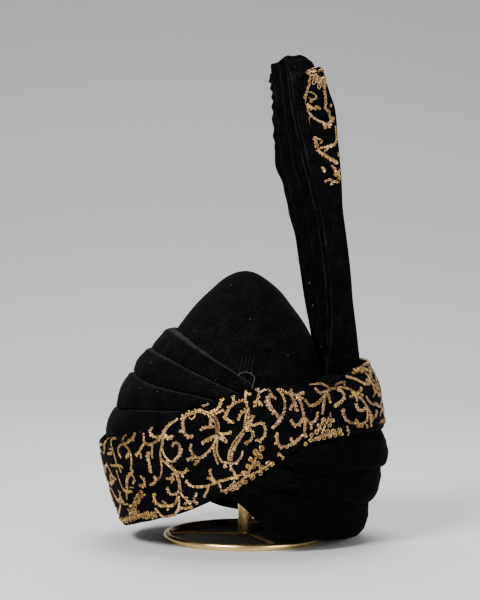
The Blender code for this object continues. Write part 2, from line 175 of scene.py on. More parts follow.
class Shader:
    """A Principled material that is put together from nodes."""

    def __init__(self, name: str) -> None:
        """Makes the empty material.

        Args:
            name: its name.
        """
        self.material = bpy.data.materials.new(name)
        self.material.use_nodes = True
        self.tree = self.material.node_tree
        self.principled = self.tree.nodes["Principled BSDF"]

    def node(
        self, kind: str, settings: dict[str, Any] | None = None, inputs: dict[Any, Any] | None = None
    ) -> bpy.types.Node:
        """Adds a node.

        Args:
            kind: the node's type name.
            settings: its own settings, which are set first.
            inputs: what its sockets get, by name or number: a number, a colour, a socket or a Value.

        Returns:
            The node.
        """
        made = self.tree.nodes.new(kind)
        for name, setting in (settings or {}).items():
            setattr(made, name, setting)
        for key, given in (inputs or {}).items():
            self.feed(made.inputs[key], given)
        return made

    def feed(self, socket: bpy.types.NodeSocket, given: Any) -> None:
        """Links or sets one socket.

        Args:
            socket: the input.
            given: a Value, an output socket, a colour or a number.
        """
        if isinstance(given, Value):
            self.tree.links.new(given.socket, socket)
        elif isinstance(given, bpy.types.NodeSocket):
            self.tree.links.new(given, socket)
        elif isinstance(given, tuple) and socket.type == "RGBA":
            socket.default_value = (*given[:3], 1.0)
        else:
            socket.default_value = given

    def place(self) -> bpy.types.NodeSocket:
        """Object coordinates, in metres."""
        return self.node("ShaderNodeTexCoord").outputs["Object"]

    def axes(self) -> tuple[Value, Value, Value]:
        """Object coordinates as three values."""
        split = self.node("ShaderNodeSeparateXYZ", inputs={"Vector": self.place()})
        return tuple(Value(self, split.outputs[axis]) for axis in ("X", "Y", "Z"))

    def attribute(self, name: str) -> Value:
        """A number that is stored on the piece's points, 0 where it isn't."""
        node = self.node("ShaderNodeAttribute", {"attribute_name": name})
        return Value(self, node.outputs["Fac"])

    def vector(self, x: Operand, y: Operand, z: Operand = 0.0) -> bpy.types.NodeSocket:
        """Three values as one vector."""
        return self.node("ShaderNodeCombineXYZ", inputs={"X": x, "Y": y, "Z": z}).outputs["Vector"]

    def noise(self, at: bpy.types.NodeSocket, size: float, detail: float = 2.0) -> Value:
        """Noise from 0 to 1, in patches of that size, with that many finer layers."""
        inputs = {"Vector": at, "Scale": 1.0 / size, "Detail": detail}
        return Value(self, self.node("ShaderNodeTexNoise", inputs=inputs).outputs["Fac"])

    def layer(self, at: bpy.types.NodeSocket, layer: Layer) -> Value:
        """One layer of noise, eased between its low and its high."""
        return self.noise(at, layer.size, layer.detail).ease(layer.low, layer.high)

    def cells(self, at: bpy.types.NodeSocket, size: float) -> Value:
        """Distance to the nearest of scattered points, in shares of size."""
        inputs = {"Vector": at, "Scale": 1.0 / size}
        return Value(self, self.node("ShaderNodeTexVoronoi", inputs=inputs).outputs["Distance"])

    def mix(self, first: Any, second: Any, share: Operand) -> bpy.types.NodeSocket:
        """Mixes two colours.

        Args:
            first: the colour at share 0.
            second: the colour at share 1.
            share: the factor.

        Returns:
            The mixed colour.
        """
        node = self.node("ShaderNodeMix", {"data_type": "RGBA"}, {0: share})
        self.feed(node.inputs[6], first)
        self.feed(node.inputs[7], second)
        return node.outputs[2]

    def bump(self, height: Value, depth: float, strength: float = 1.0) -> None:
        """Feeds the shader's normal with a relief of that depth in metres."""
        inputs = {"Height": height, "Distance": depth, "Strength": strength}
        relief = self.node("ShaderNodeBump", inputs=inputs)
        self.feed(self.principled.inputs["Normal"], relief.outputs["Normal"])

    def surface(self, **inputs: Any) -> None:
        """Sets or links the shader's own sockets; an underscore stands for a space."""
        for name, given in inputs.items():
            self.feed(self.principled.inputs[name.replace("_", " ")], given)


@dataclass(frozen=True)
class CrushMarks:
    """Short upright marks where the pile was pressed, above the band on the near side.

    Places are in metres. The marks' edge and core, left and right are in mark spacings.
    """

    middle: float = 0.0008
    height: float = 0.158
    lean: float = 0.22
    spacing: float = 0.0031
    edge: float = 0.16
    core: float = 0.06
    left: Span = (-2.4, -1.9)
    right: Span = (2.3, 1.8)
    foot: Span = (0.1495, 0.1525)
    top: Span = (0.1665, 0.1630)
    share: float = 0.26

    def mask(self, shader: Shader) -> Value:
        """Finds the marks.

        Args:
            shader: the velvet's shader.

        Returns:
            Its share of paleness, 0 beside the marks.
        """
        x, y, z = shader.axes()
        across = (x - self.middle - (z - self.height) * self.lean) / self.spacing
        mark = abs(across.fraction() - 0.5).ease(self.edge, self.core)
        window = across.ease(*self.left) * across.ease(*self.right)
        tall = z.ease(*self.foot) * z.ease(*self.top)
        return mark * window * tall * y.below(0.0) * self.share


@dataclass(frozen=True)
class VelvetFinish:
    """Black cotton velvet with brushed patches, its edges paler from wear and painted highlight."""

    name: str = "black_velvet_pile"
    deep: Colour = (0.0006, 0.0006, 0.0007)
    brushed: Colour = (0.0050, 0.0050, 0.0055)
    pale_wear_and_sheen: Colour = (0.023, 0.024, 0.026)
    lint: Colour = (0.12, 0.12, 0.12)
    roughness: float = 0.95
    specular: float = 0.02
    sheen: float = 0.018
    sheen_roughness: float = 0.34
    sheen_tint: Colour = (0.86, 0.88, 1.0)
    patches: Layer = Layer(0.011, 5.0, 0.34, 0.70)
    least_patch: float = 0.35
    grain: Layer = Layer(0.0016, 4.0, 0.36, 0.68)
    least_grain: float = 0.15
    least_crease: float = 0.45
    pile: float = 0.0007
    pile_share: float = 0.6
    pile_depth: float = 0.0004
    pile_relief: float = 0.55
    lint_spacing: float = 0.012
    lint_size: Span = (0.055, 0.03)
    lint_share: float = 0.55
    rib_depth: float = 0.0
    rib_relief: float = 0.7
    rib_sharpness: float = 5.0
    streak_length: float = 0.035
    streaks: Span = (0.50, 0.80)
    streak_detail: float = 3.0
    streak_share: float = 0.30
    crush: CrushMarks | None = None

    def build(self) -> bpy.types.Material:
        """Makes the material.

        Returns:
            The material.
        """
        shader = Shader(self.name)
        at = shader.place()
        grain = shader.layer(at, self.grain)
        colour = self.pile_colour(shader, at, grain)
        pile = shader.noise(at, self.pile) * self.pile_share + grain * (1.0 - self.pile_share)
        if self.rib_depth:
            ribs = (shader.attribute("rib") * TURN).sine() * 0.5 + 0.5
            # Paler streaks on the rib tops: partly worn pile, partly painted highlight
            wear_and_sheen_share = ribs**self.rib_sharpness * self.streaked(shader) * self.streak_share
            colour = shader.mix(colour, self.pale_wear_and_sheen, wear_and_sheen_share)
            relief = pile * (self.pile_depth / self.rib_depth) + ribs
            shader.bump(relief, self.rib_depth, self.rib_relief)
        else:
            shader.bump(pile, self.pile_depth, self.pile_relief)
        shader.surface(
            Base_Color=colour,
            Roughness=self.roughness,
            Specular_IOR_Level=self.specular,
            Sheen_Weight=self.sheen,
            Sheen_Roughness=self.sheen_roughness,
            Sheen_Tint=self.sheen_tint,
        )
        return shader.material

    def pile_colour(self, shader: Shader, at: bpy.types.NodeSocket, grain: Value) -> bpy.types.NodeSocket:
        """The pile's colour: brushed patches, paler edges from wear and painted highlight, crush marks, lint.

        Args:
            shader: the shader.
            at: Object coordinates.
            grain: the pile's fine grain.

        Returns:
            The colour.
        """
        brushed = shader.layer(at, self.patches).above(self.least_patch) * grain.above(self.least_grain)
        colour = shader.mix(self.deep, self.brushed, brushed)
        # Paler where a piece stores crest: partly worn pile, partly painted highlight and painted sheen
        colour = shader.mix(colour, self.pale_wear_and_sheen, shader.attribute("crest") * grain.above(self.least_crease))
        if self.crush:
            colour = shader.mix(colour, self.pale_wear_and_sheen, self.crush.mask(shader))
        specks = shader.cells(at, self.lint_spacing).ease(*self.lint_size)
        return shader.mix(colour, self.lint, specks * self.lint_share)

    def streaked(self, shader: Shader) -> Value:
        """Broken streaks that run up the ribs.

        Args:
            shader: the shader.

        Returns:
            1 in a streak, 0 between.
        """
        x, y, z = shader.axes()
        stretched = shader.vector(x, y, z * (self.grain.size / self.streak_length))
        return shader.noise(stretched, self.grain.size, self.streak_detail).ease(*self.streaks)


@dataclass(frozen=True)
class GoldThreadFinish:
    """Twisted antique gold thread, with painted shade underneath and in its twist, and painted glints."""

    name: str = "gold_thread"
    golden: Colour = (1.0, 0.62, 0.19)
    rosy: Colour = (1.0, 0.66, 0.36)
    dull_and_shaded: Colour = (0.070, 0.032, 0.009)
    metallic: float = 0.85
    roughness: float = 0.14
    rougher: float = 0.30
    wear: Layer = Layer(0.007, 2.0, 0.30, 0.66)
    painted_glint: Layer = Layer(0.0019, 2.0, 0.40, 0.62)
    spark: Layer = Layer(0.0009, 2.0, 0.38, 0.64)
    wear_share: float = 0.18
    painted_glint_share: float = 0.44
    twist_shade_share: float = 0.38
    contrast: float = 1.25
    painted_lit_side: Span = (0.35, 1.0)
    least_lit: float = 0.08
    twist: float = 0.0017
    twist_depth: float = 0.00030
    twist_relief: float = 0.7
    relief: float = 0.9

    def build(self) -> bpy.types.Material:
        """Makes the material.

        Returns:
            The material.
        """
        shader = Shader(self.name)
        at = shader.place()
        wear = shader.layer(at, self.wear)
        painted_glint = shader.layer(at, self.painted_glint)
        spark = shader.layer(at, self.spark)
        around = shader.attribute("around")
        turns = ((shader.attribute("along") / self.twist + around * 0.5) * TURN).sine() * 0.5 + 0.5
        # Base colour with painted shade on the thread's underside and in its twist, painted glints, and the
        # gold's own wear
        shine = wear * self.wear_share + painted_glint * self.painted_glint_share + turns * self.twist_shade_share
        share = shine**self.contrast * around.ease(*self.painted_lit_side).above(self.least_lit)
        bright = shader.mix(self.golden, self.rosy, shader.attribute("tone"))
        shader.surface(
            Base_Color=shader.mix(self.dull_and_shaded, bright, share),
            Metallic=self.metallic,
            Roughness=self.roughness + self.rougher * (1.0 - spark),
        )
        relief = turns * self.twist_relief + spark * (1.0 - self.twist_relief)
        shader.bump(relief, self.twist_depth, self.relief)
        return shader.material


@dataclass(frozen=True)
class BrassFinish:
    """Polished brass with fine turning marks and a little tarnish."""

    name: str = "polished_brass_metal"
    bright: Colour = (0.86, 0.62, 0.27)
    tarnish: Colour = (0.46, 0.29, 0.10)
    clouds: Layer = Layer(0.022, 4.0, 0.42, 0.72)
    tarnish_share: float = 0.45
    smudges: Layer = Layer(0.008, 3.0, 0.45, 0.75)
    marks: float = 0.00045
    mark_stretch: float = 0.08
    mark_depth: float = 0.00006
    relief: float = 0.5
    roughness: float = 0.24
    smudge_roughness: float = 0.12
    mark_roughness: float = 0.08

    def build(self) -> bpy.types.Material:
        """Makes the material.

        Returns:
            The material.
        """
        shader = Shader(self.name)
        at = shader.place()
        x, y, z = shader.axes()
        clouds = shader.layer(at, self.clouds)
        marks = shader.noise(shader.vector(x * self.mark_stretch, y * self.mark_stretch, z), self.marks)
        smudges = shader.layer(at, self.smudges)
        shader.surface(
            Base_Color=shader.mix(self.bright, self.tarnish, clouds * self.tarnish_share),
            Metallic=1.0,
            Roughness=self.roughness + smudges * self.smudge_roughness + marks * self.mark_roughness,
        )
        shader.bump(marks, self.mark_depth, self.relief)
        return shader.material


@dataclass(frozen=True)
class StrayThreadFinish:
    """Pale cotton thread with a fine twist, with painted shade in the twist."""

    name: str = "pale_thread"
    pale: Colour = (0.075, 0.075, 0.08)
    shaded: Colour = (0.04, 0.04, 0.04)
    twist: float = 0.0008
    twist_shade_share: float = 0.5
    roughness: float = 0.7

    def build(self) -> bpy.types.Material:
        """Makes the material.

        Returns:
            The material.
        """
        shader = Shader(self.name)
        twist = ((shader.attribute("along") / self.twist) * TURN).sine() * 0.5 + 0.5
        # Painted shade: darker in each turn of the twist
        colour = shader.mix(self.pale, self.shaded, twist * self.twist_shade_share)
        shader.surface(Base_Color=colour, Roughness=self.roughness)
        return shader.material


@dataclass(frozen=True)
class FloorFinish:
    """Plain pale studio floor."""

    name: str = "studio_floor"
    colour: Colour = (0.62, 0.62, 0.62)
    roughness: float = 0.62

    def build(self) -> bpy.types.Material:
        """Makes the material.

        Returns:
            The material.
        """
        shader = Shader(self.name)
        shader.surface(Base_Color=self.colour, Roughness=self.roughness)
        return shader.material


def select_only(thing: bpy.types.Object) -> None:
    """Deselects everything, then selects one object and makes it active.

    Args:
        thing: the object.
    """
    bpy.ops.object.select_all(action="DESELECT")
    thing.select_set(True)
    bpy.context.view_layer.objects.active = thing


def apply_modifier(thing: bpy.types.Object, kind: str, **settings: Any) -> None:
    """Adds a modifier, sets it and applies it.

    Args:
        thing: the object.
        kind: the modifier's type.
        settings: its settings.
    """
    select_only(thing)
    bpy.ops.object.modifier_add(type=kind)
    modifier = thing.modifiers[-1]
    for name, setting in settings.items():
        setattr(modifier, name, setting)
    bpy.ops.object.modifier_apply(modifier=modifier.name)


def subdivide(thing: bpy.types.Object, levels: int) -> None:
    """Rounds a mesh by subdivision."""
    apply_modifier(thing, "SUBSURF", levels=levels, render_levels=levels)


def shade(thing: bpy.types.Object, degrees: float = 60.0) -> None:
    """Smooth shading, sharp past an angle."""
    select_only(thing)
    bpy.ops.object.shade_smooth_by_angle(angle=math.radians(degrees))


def points_of(thing: bpy.types.Object) -> np.ndarray:
    """Reads a mesh's points.

    Args:
        thing: the object.

    Returns:
        Rows of x, y, z.
    """
    flat = np.empty(len(thing.data.vertices) * 3)
    thing.data.vertices.foreach_get("co", flat)
    return flat.reshape(-1, 3)


def normals_of(thing: bpy.types.Object) -> np.ndarray:
    """Reads a mesh's point normals.

    Args:
        thing: the object.

    Returns:
        Rows of x, y, z.
    """
    flat = np.empty(len(thing.data.vertices) * 3)
    thing.data.vertex_normals.foreach_get("vector", flat)
    return flat.reshape(-1, 3)


def set_points(thing: bpy.types.Object, points: np.ndarray) -> None:
    """Moves the mesh's points."""
    thing.data.vertices.foreach_set("co", points.astype(np.float32).ravel())
    thing.data.update()


def push(thing: bpy.types.Object, distances: np.ndarray) -> None:
    """Moves each point along its normal by its own distance."""
    set_points(thing, points_of(thing) + normals_of(thing) * distances[:, None])


def store(thing: bpy.types.Object, name: str, values: np.ndarray) -> None:
    """Keeps a number on each point, for the materials."""
    attribute = thing.data.attributes.new(name, "FLOAT", "POINT")
    attribute.data.foreach_set("value", np.asarray(values, np.float32))


def waves(points: np.ndarray, length: float, seed: int, count: int = 9) -> np.ndarray:
    """A smooth uneven field from about -1 to 1.

    Args:
        points: where it is read.
        length: the usual distance between its crests, in metres.
        seed: which field it is.
        count: how many waves are added up.

    Returns:
        One number for each point.
    """
    draw = np.random.default_rng(seed)
    directions = draw.normal(size=(count, points.shape[1]))
    directions /= np.linalg.norm(directions, axis=1)[:, None]
    lengths = length * draw.uniform(*WAVE_LENGTHS, count)
    phases = draw.uniform(0, TURN, count)
    turns = points @ directions.T * (TURN / lengths) + phases
    return np.sin(turns).sum(axis=1) / math.sqrt(count)


class Ripple(NamedTuple):
    """Unevenness of a surface: the distance between its crests, how far it reaches, and its seed."""

    length: float
    reach: float
    seed: int

    def over(self, points: np.ndarray) -> np.ndarray:
        """Its value at each point."""
        return waves(points, self.length, self.seed) * self.reach


def ease(values: Any, low: float, high: float) -> Any:
    """Rises smoothly from 0 at low to 1 at high, for numbers and arrays."""
    share = np.clip((np.asarray(values, float) - low) / (high - low), 0, 1)
    return share * share * (3 - 2 * share)


def azimuths_of(points: np.ndarray) -> np.ndarray:
    """Azimuth of each point, from -180 to 180."""
    return np.degrees(np.arctan2(-points[:, 1], -points[:, 0]))


def on_ray(azimuth: float, radius: float, height: float) -> Vector:
    """The point at an azimuth, a distance from the cap's axis and a height."""
    angle = math.radians(azimuth)
    return Vector((-radius * math.cos(angle), -radius * math.sin(angle), height))


def spline(knots: np.ndarray, step: float) -> np.ndarray:
    """Points at about equal steps along a smooth curve through some knots.

    Args:
        knots: rows of coordinates.
        step: the distance between points.

    Returns:
        Rows of coordinates.
    """
    padded = np.vstack((2 * knots[0] - knots[1], knots, 2 * knots[-1] - knots[-2]))
    fine = []
    for a, b, c, d in zip(padded, padded[1:], padded[2:], padded[3:]):
        for t in np.linspace(0, 1, SPLINE_STEPS, endpoint=False):
            bend, twist = 2 * a - 5 * b + 4 * c - d, 3 * b - a - 3 * c + d
            fine.append(0.5 * (2 * b + (c - a) * t + bend * t**2 + twist * t**3))
    fine.append(knots[-1])
    curve = np.array(fine)
    run = run_along(curve)
    count = max(3, round(run[-1] / step) + 1)
    at = np.linspace(0, run[-1], count)
    return np.column_stack([np.interp(at, run, curve[:, k]) for k in range(curve.shape[1])])


def run_along(points: np.ndarray) -> np.ndarray:
    """The distance along a line of points, from its first one."""
    return np.concatenate(([0], np.cumsum(np.linalg.norm(np.diff(points, axis=0), axis=1))))


def across_of(chart: np.ndarray) -> np.ndarray:
    """Unit vectors to the left of a line of chart points.

    Args:
        chart: the chart points.

    Returns:
        One vector for each point.
    """
    run = np.gradient(chart, axis=0)
    run /= np.linalg.norm(run, axis=1)[:, None]
    return np.column_stack((-run[:, 1], run[:, 0]))


def unit_rows(rows: np.ndarray) -> np.ndarray:
    """Rows of coordinates, each brought to length 1."""
    return rows / (np.linalg.norm(rows, axis=1)[:, None] + TINY)


class MeshDraft:
    """Points and faces that are gathered for one mesh, with numbers kept on the points."""

    def __init__(self) -> None:
        """Starts an empty draft."""
        self.points: list[np.ndarray] = []
        self.faces: list[tuple[int, ...]] = []
        self.numbers: dict[str, list[np.ndarray]] = {}
        self.count = 0

    def add(self, points: np.ndarray, faces: Sequence[tuple[int, ...]], **numbers: np.ndarray) -> None:
        """Adds a part.

        Args:
            points: its points.
            faces: its faces, which count its own points from 0.
            numbers: named numbers, one for each point.
        """
        self.faces.extend(tuple(index + self.count for index in face) for face in faces)
        self.points.append(points)
        self.count += len(points)
        for name, values in numbers.items():
            self.numbers.setdefault(name, []).append(values)

    def build(self, name: str) -> bpy.types.Object:
        """Makes the object.

        Args:
            name: its name.

        Returns:
            The object, linked to the scene.
        """
        mesh = bpy.data.meshes.new(name)
        mesh.from_pydata(np.vstack(self.points).tolist(), [], self.faces)
        made = bpy.data.objects.new(name, mesh)
        bpy.context.scene.collection.objects.link(made)
        for kept, values in self.numbers.items():
            store(made, kept, np.concatenate(values))
        return made


def tube_faces(rings: int, sides: int, closed: bool) -> list[tuple[int, ...]]:
    """Faces of a tube whose points are listed ring by ring.

    Args:
        rings: the number of rings.
        sides: the points in each.
        closed: whether the last ring joins the first; otherwise each end is capped.

    Returns:
        The faces, facing out where each ring turns left round the tube's run.
    """
    faces: list[tuple[int, ...]] = []
    for r in range(rings if closed else rings - 1):
        here, after = r * sides, (r + 1) % rings * sides
        for k in range(sides):
            nxt = (k + 1) % sides
            faces.append((here + k, here + nxt, after + nxt, after + k))
    if not closed:
        faces.append(tuple(range(sides - 1, -1, -1)))
        faces.append(tuple((rings - 1) * sides + k for k in range(sides)))
    return faces


def grid_faces(levels: int, columns: int) -> list[tuple[int, ...]]:
    """Faces of a sheet whose points are listed level by level, with that many columns in each."""
    corners = [level * columns + column for level in range(levels - 1) for column in range(columns - 1)]
    return [(corner, corner + 1, corner + columns + 1, corner + columns) for corner in corners]


def dress(
    piece: bpy.types.Object, finish: bpy.types.Material, slot: Slot, *nodes: str
) -> bpy.types.Object:
    """Gives a finished piece its material and body, and names the solids that it replaces.

    Args:
        piece: the finished object.
        finish: its material.
        slot: the record's slot; not used.
        nodes: the replaced solids.

    Returns:
        The piece.
    """
    piece.data.materials.clear()
    piece.data.materials.append(finish)
    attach(piece, "root")
    if nodes:
        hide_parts(*nodes)
    replaced = ", ".join(nodes) or "nothing"
    LOG.info("%s: %d faces, replaces %s", piece.name, len(piece.data.polygons), replaced)
    return piece


def copy_solid(node: str, name: str) -> bpy.types.Object:
    """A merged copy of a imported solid, in quads where they fit.

    Args:
        node: the solid's name.
        name: the copy's name.

    Returns:
        The copy.
    """
    source = bpy.data.objects[node]
    copy = bpy.data.objects.new(name, source.data.copy())
    bpy.context.scene.collection.objects.link(copy)
    copy.data.materials.clear()
    select_only(copy)
    bpy.ops.mesh.customdata_custom_splitnormals_clear()
    bpy.ops.object.mode_set(mode="EDIT")
    bpy.ops.mesh.select_all(action="SELECT")
    bpy.ops.mesh.remove_doubles(threshold=MERGE)
    bpy.ops.mesh.tris_convert_to_quads(face_threshold=FLAT, shape_threshold=FLAT)
    bpy.ops.object.mode_set(mode="OBJECT")
    return copy


def tree_of(thing: bpy.types.Object) -> BVHTree:
    """A search tree of an object's faces."""
    points = [vertex.co for vertex in thing.data.vertices]
    return BVHTree.FromPolygons(points, [tuple(face.vertices) for face in thing.data.polygons])


class EdgeLine:
    """The upper or lower edge of a piece as a height that changes round the cap."""

    def __init__(self, points: np.ndarray, top: bool, step: float = 1.5) -> None:
        """Reads the edge.

        Args:
            points: the piece's points.
            top: whether it is the upper edge.
            step: degrees between the places where it is read.
        """
        stations = np.round(azimuths_of(points) / step).astype(int)
        keys = np.unique(stations)
        pick = np.max if top else np.min
        self.angles = keys * step
        self.heights = np.array([pick(points[stations == key, 2]) for key in keys])

    def at(self, azimuths: np.ndarray) -> np.ndarray:
        """Heights at some azimuths."""
        return np.interp(azimuths, self.angles, self.heights)


class Stroke(NamedTuple):
    """One line of the embroidery, in chart millimetres: its width at both ends and the knots it passes."""

    start: float
    end: float
    knots: tuple[tuple[float, float], ...]


class BerryField(NamedTuple):
    """A field of berries between two points, in chart millimetres, with its width at both."""

    start: float
    end: float
    first: tuple[float, float]
    last: tuple[float, float]


class Petal(NamedTuple):
    """A leaf drawn as a teardrop of thread, in chart millimetres: its stalk, its tip and its width."""

    stalk: tuple[float, float]
    tip: tuple[float, float]
    width: float


class Berry(NamedTuple):
    """One berry, a ring of thread: its place in chart millimetres, and its size as a share of the usual."""

    across: float
    height: float
    size: float


def line(start: float, end: float, *knots: tuple[float, float]) -> Stroke:
    """A stroke through its knots."""
    return Stroke(start, end, knots)
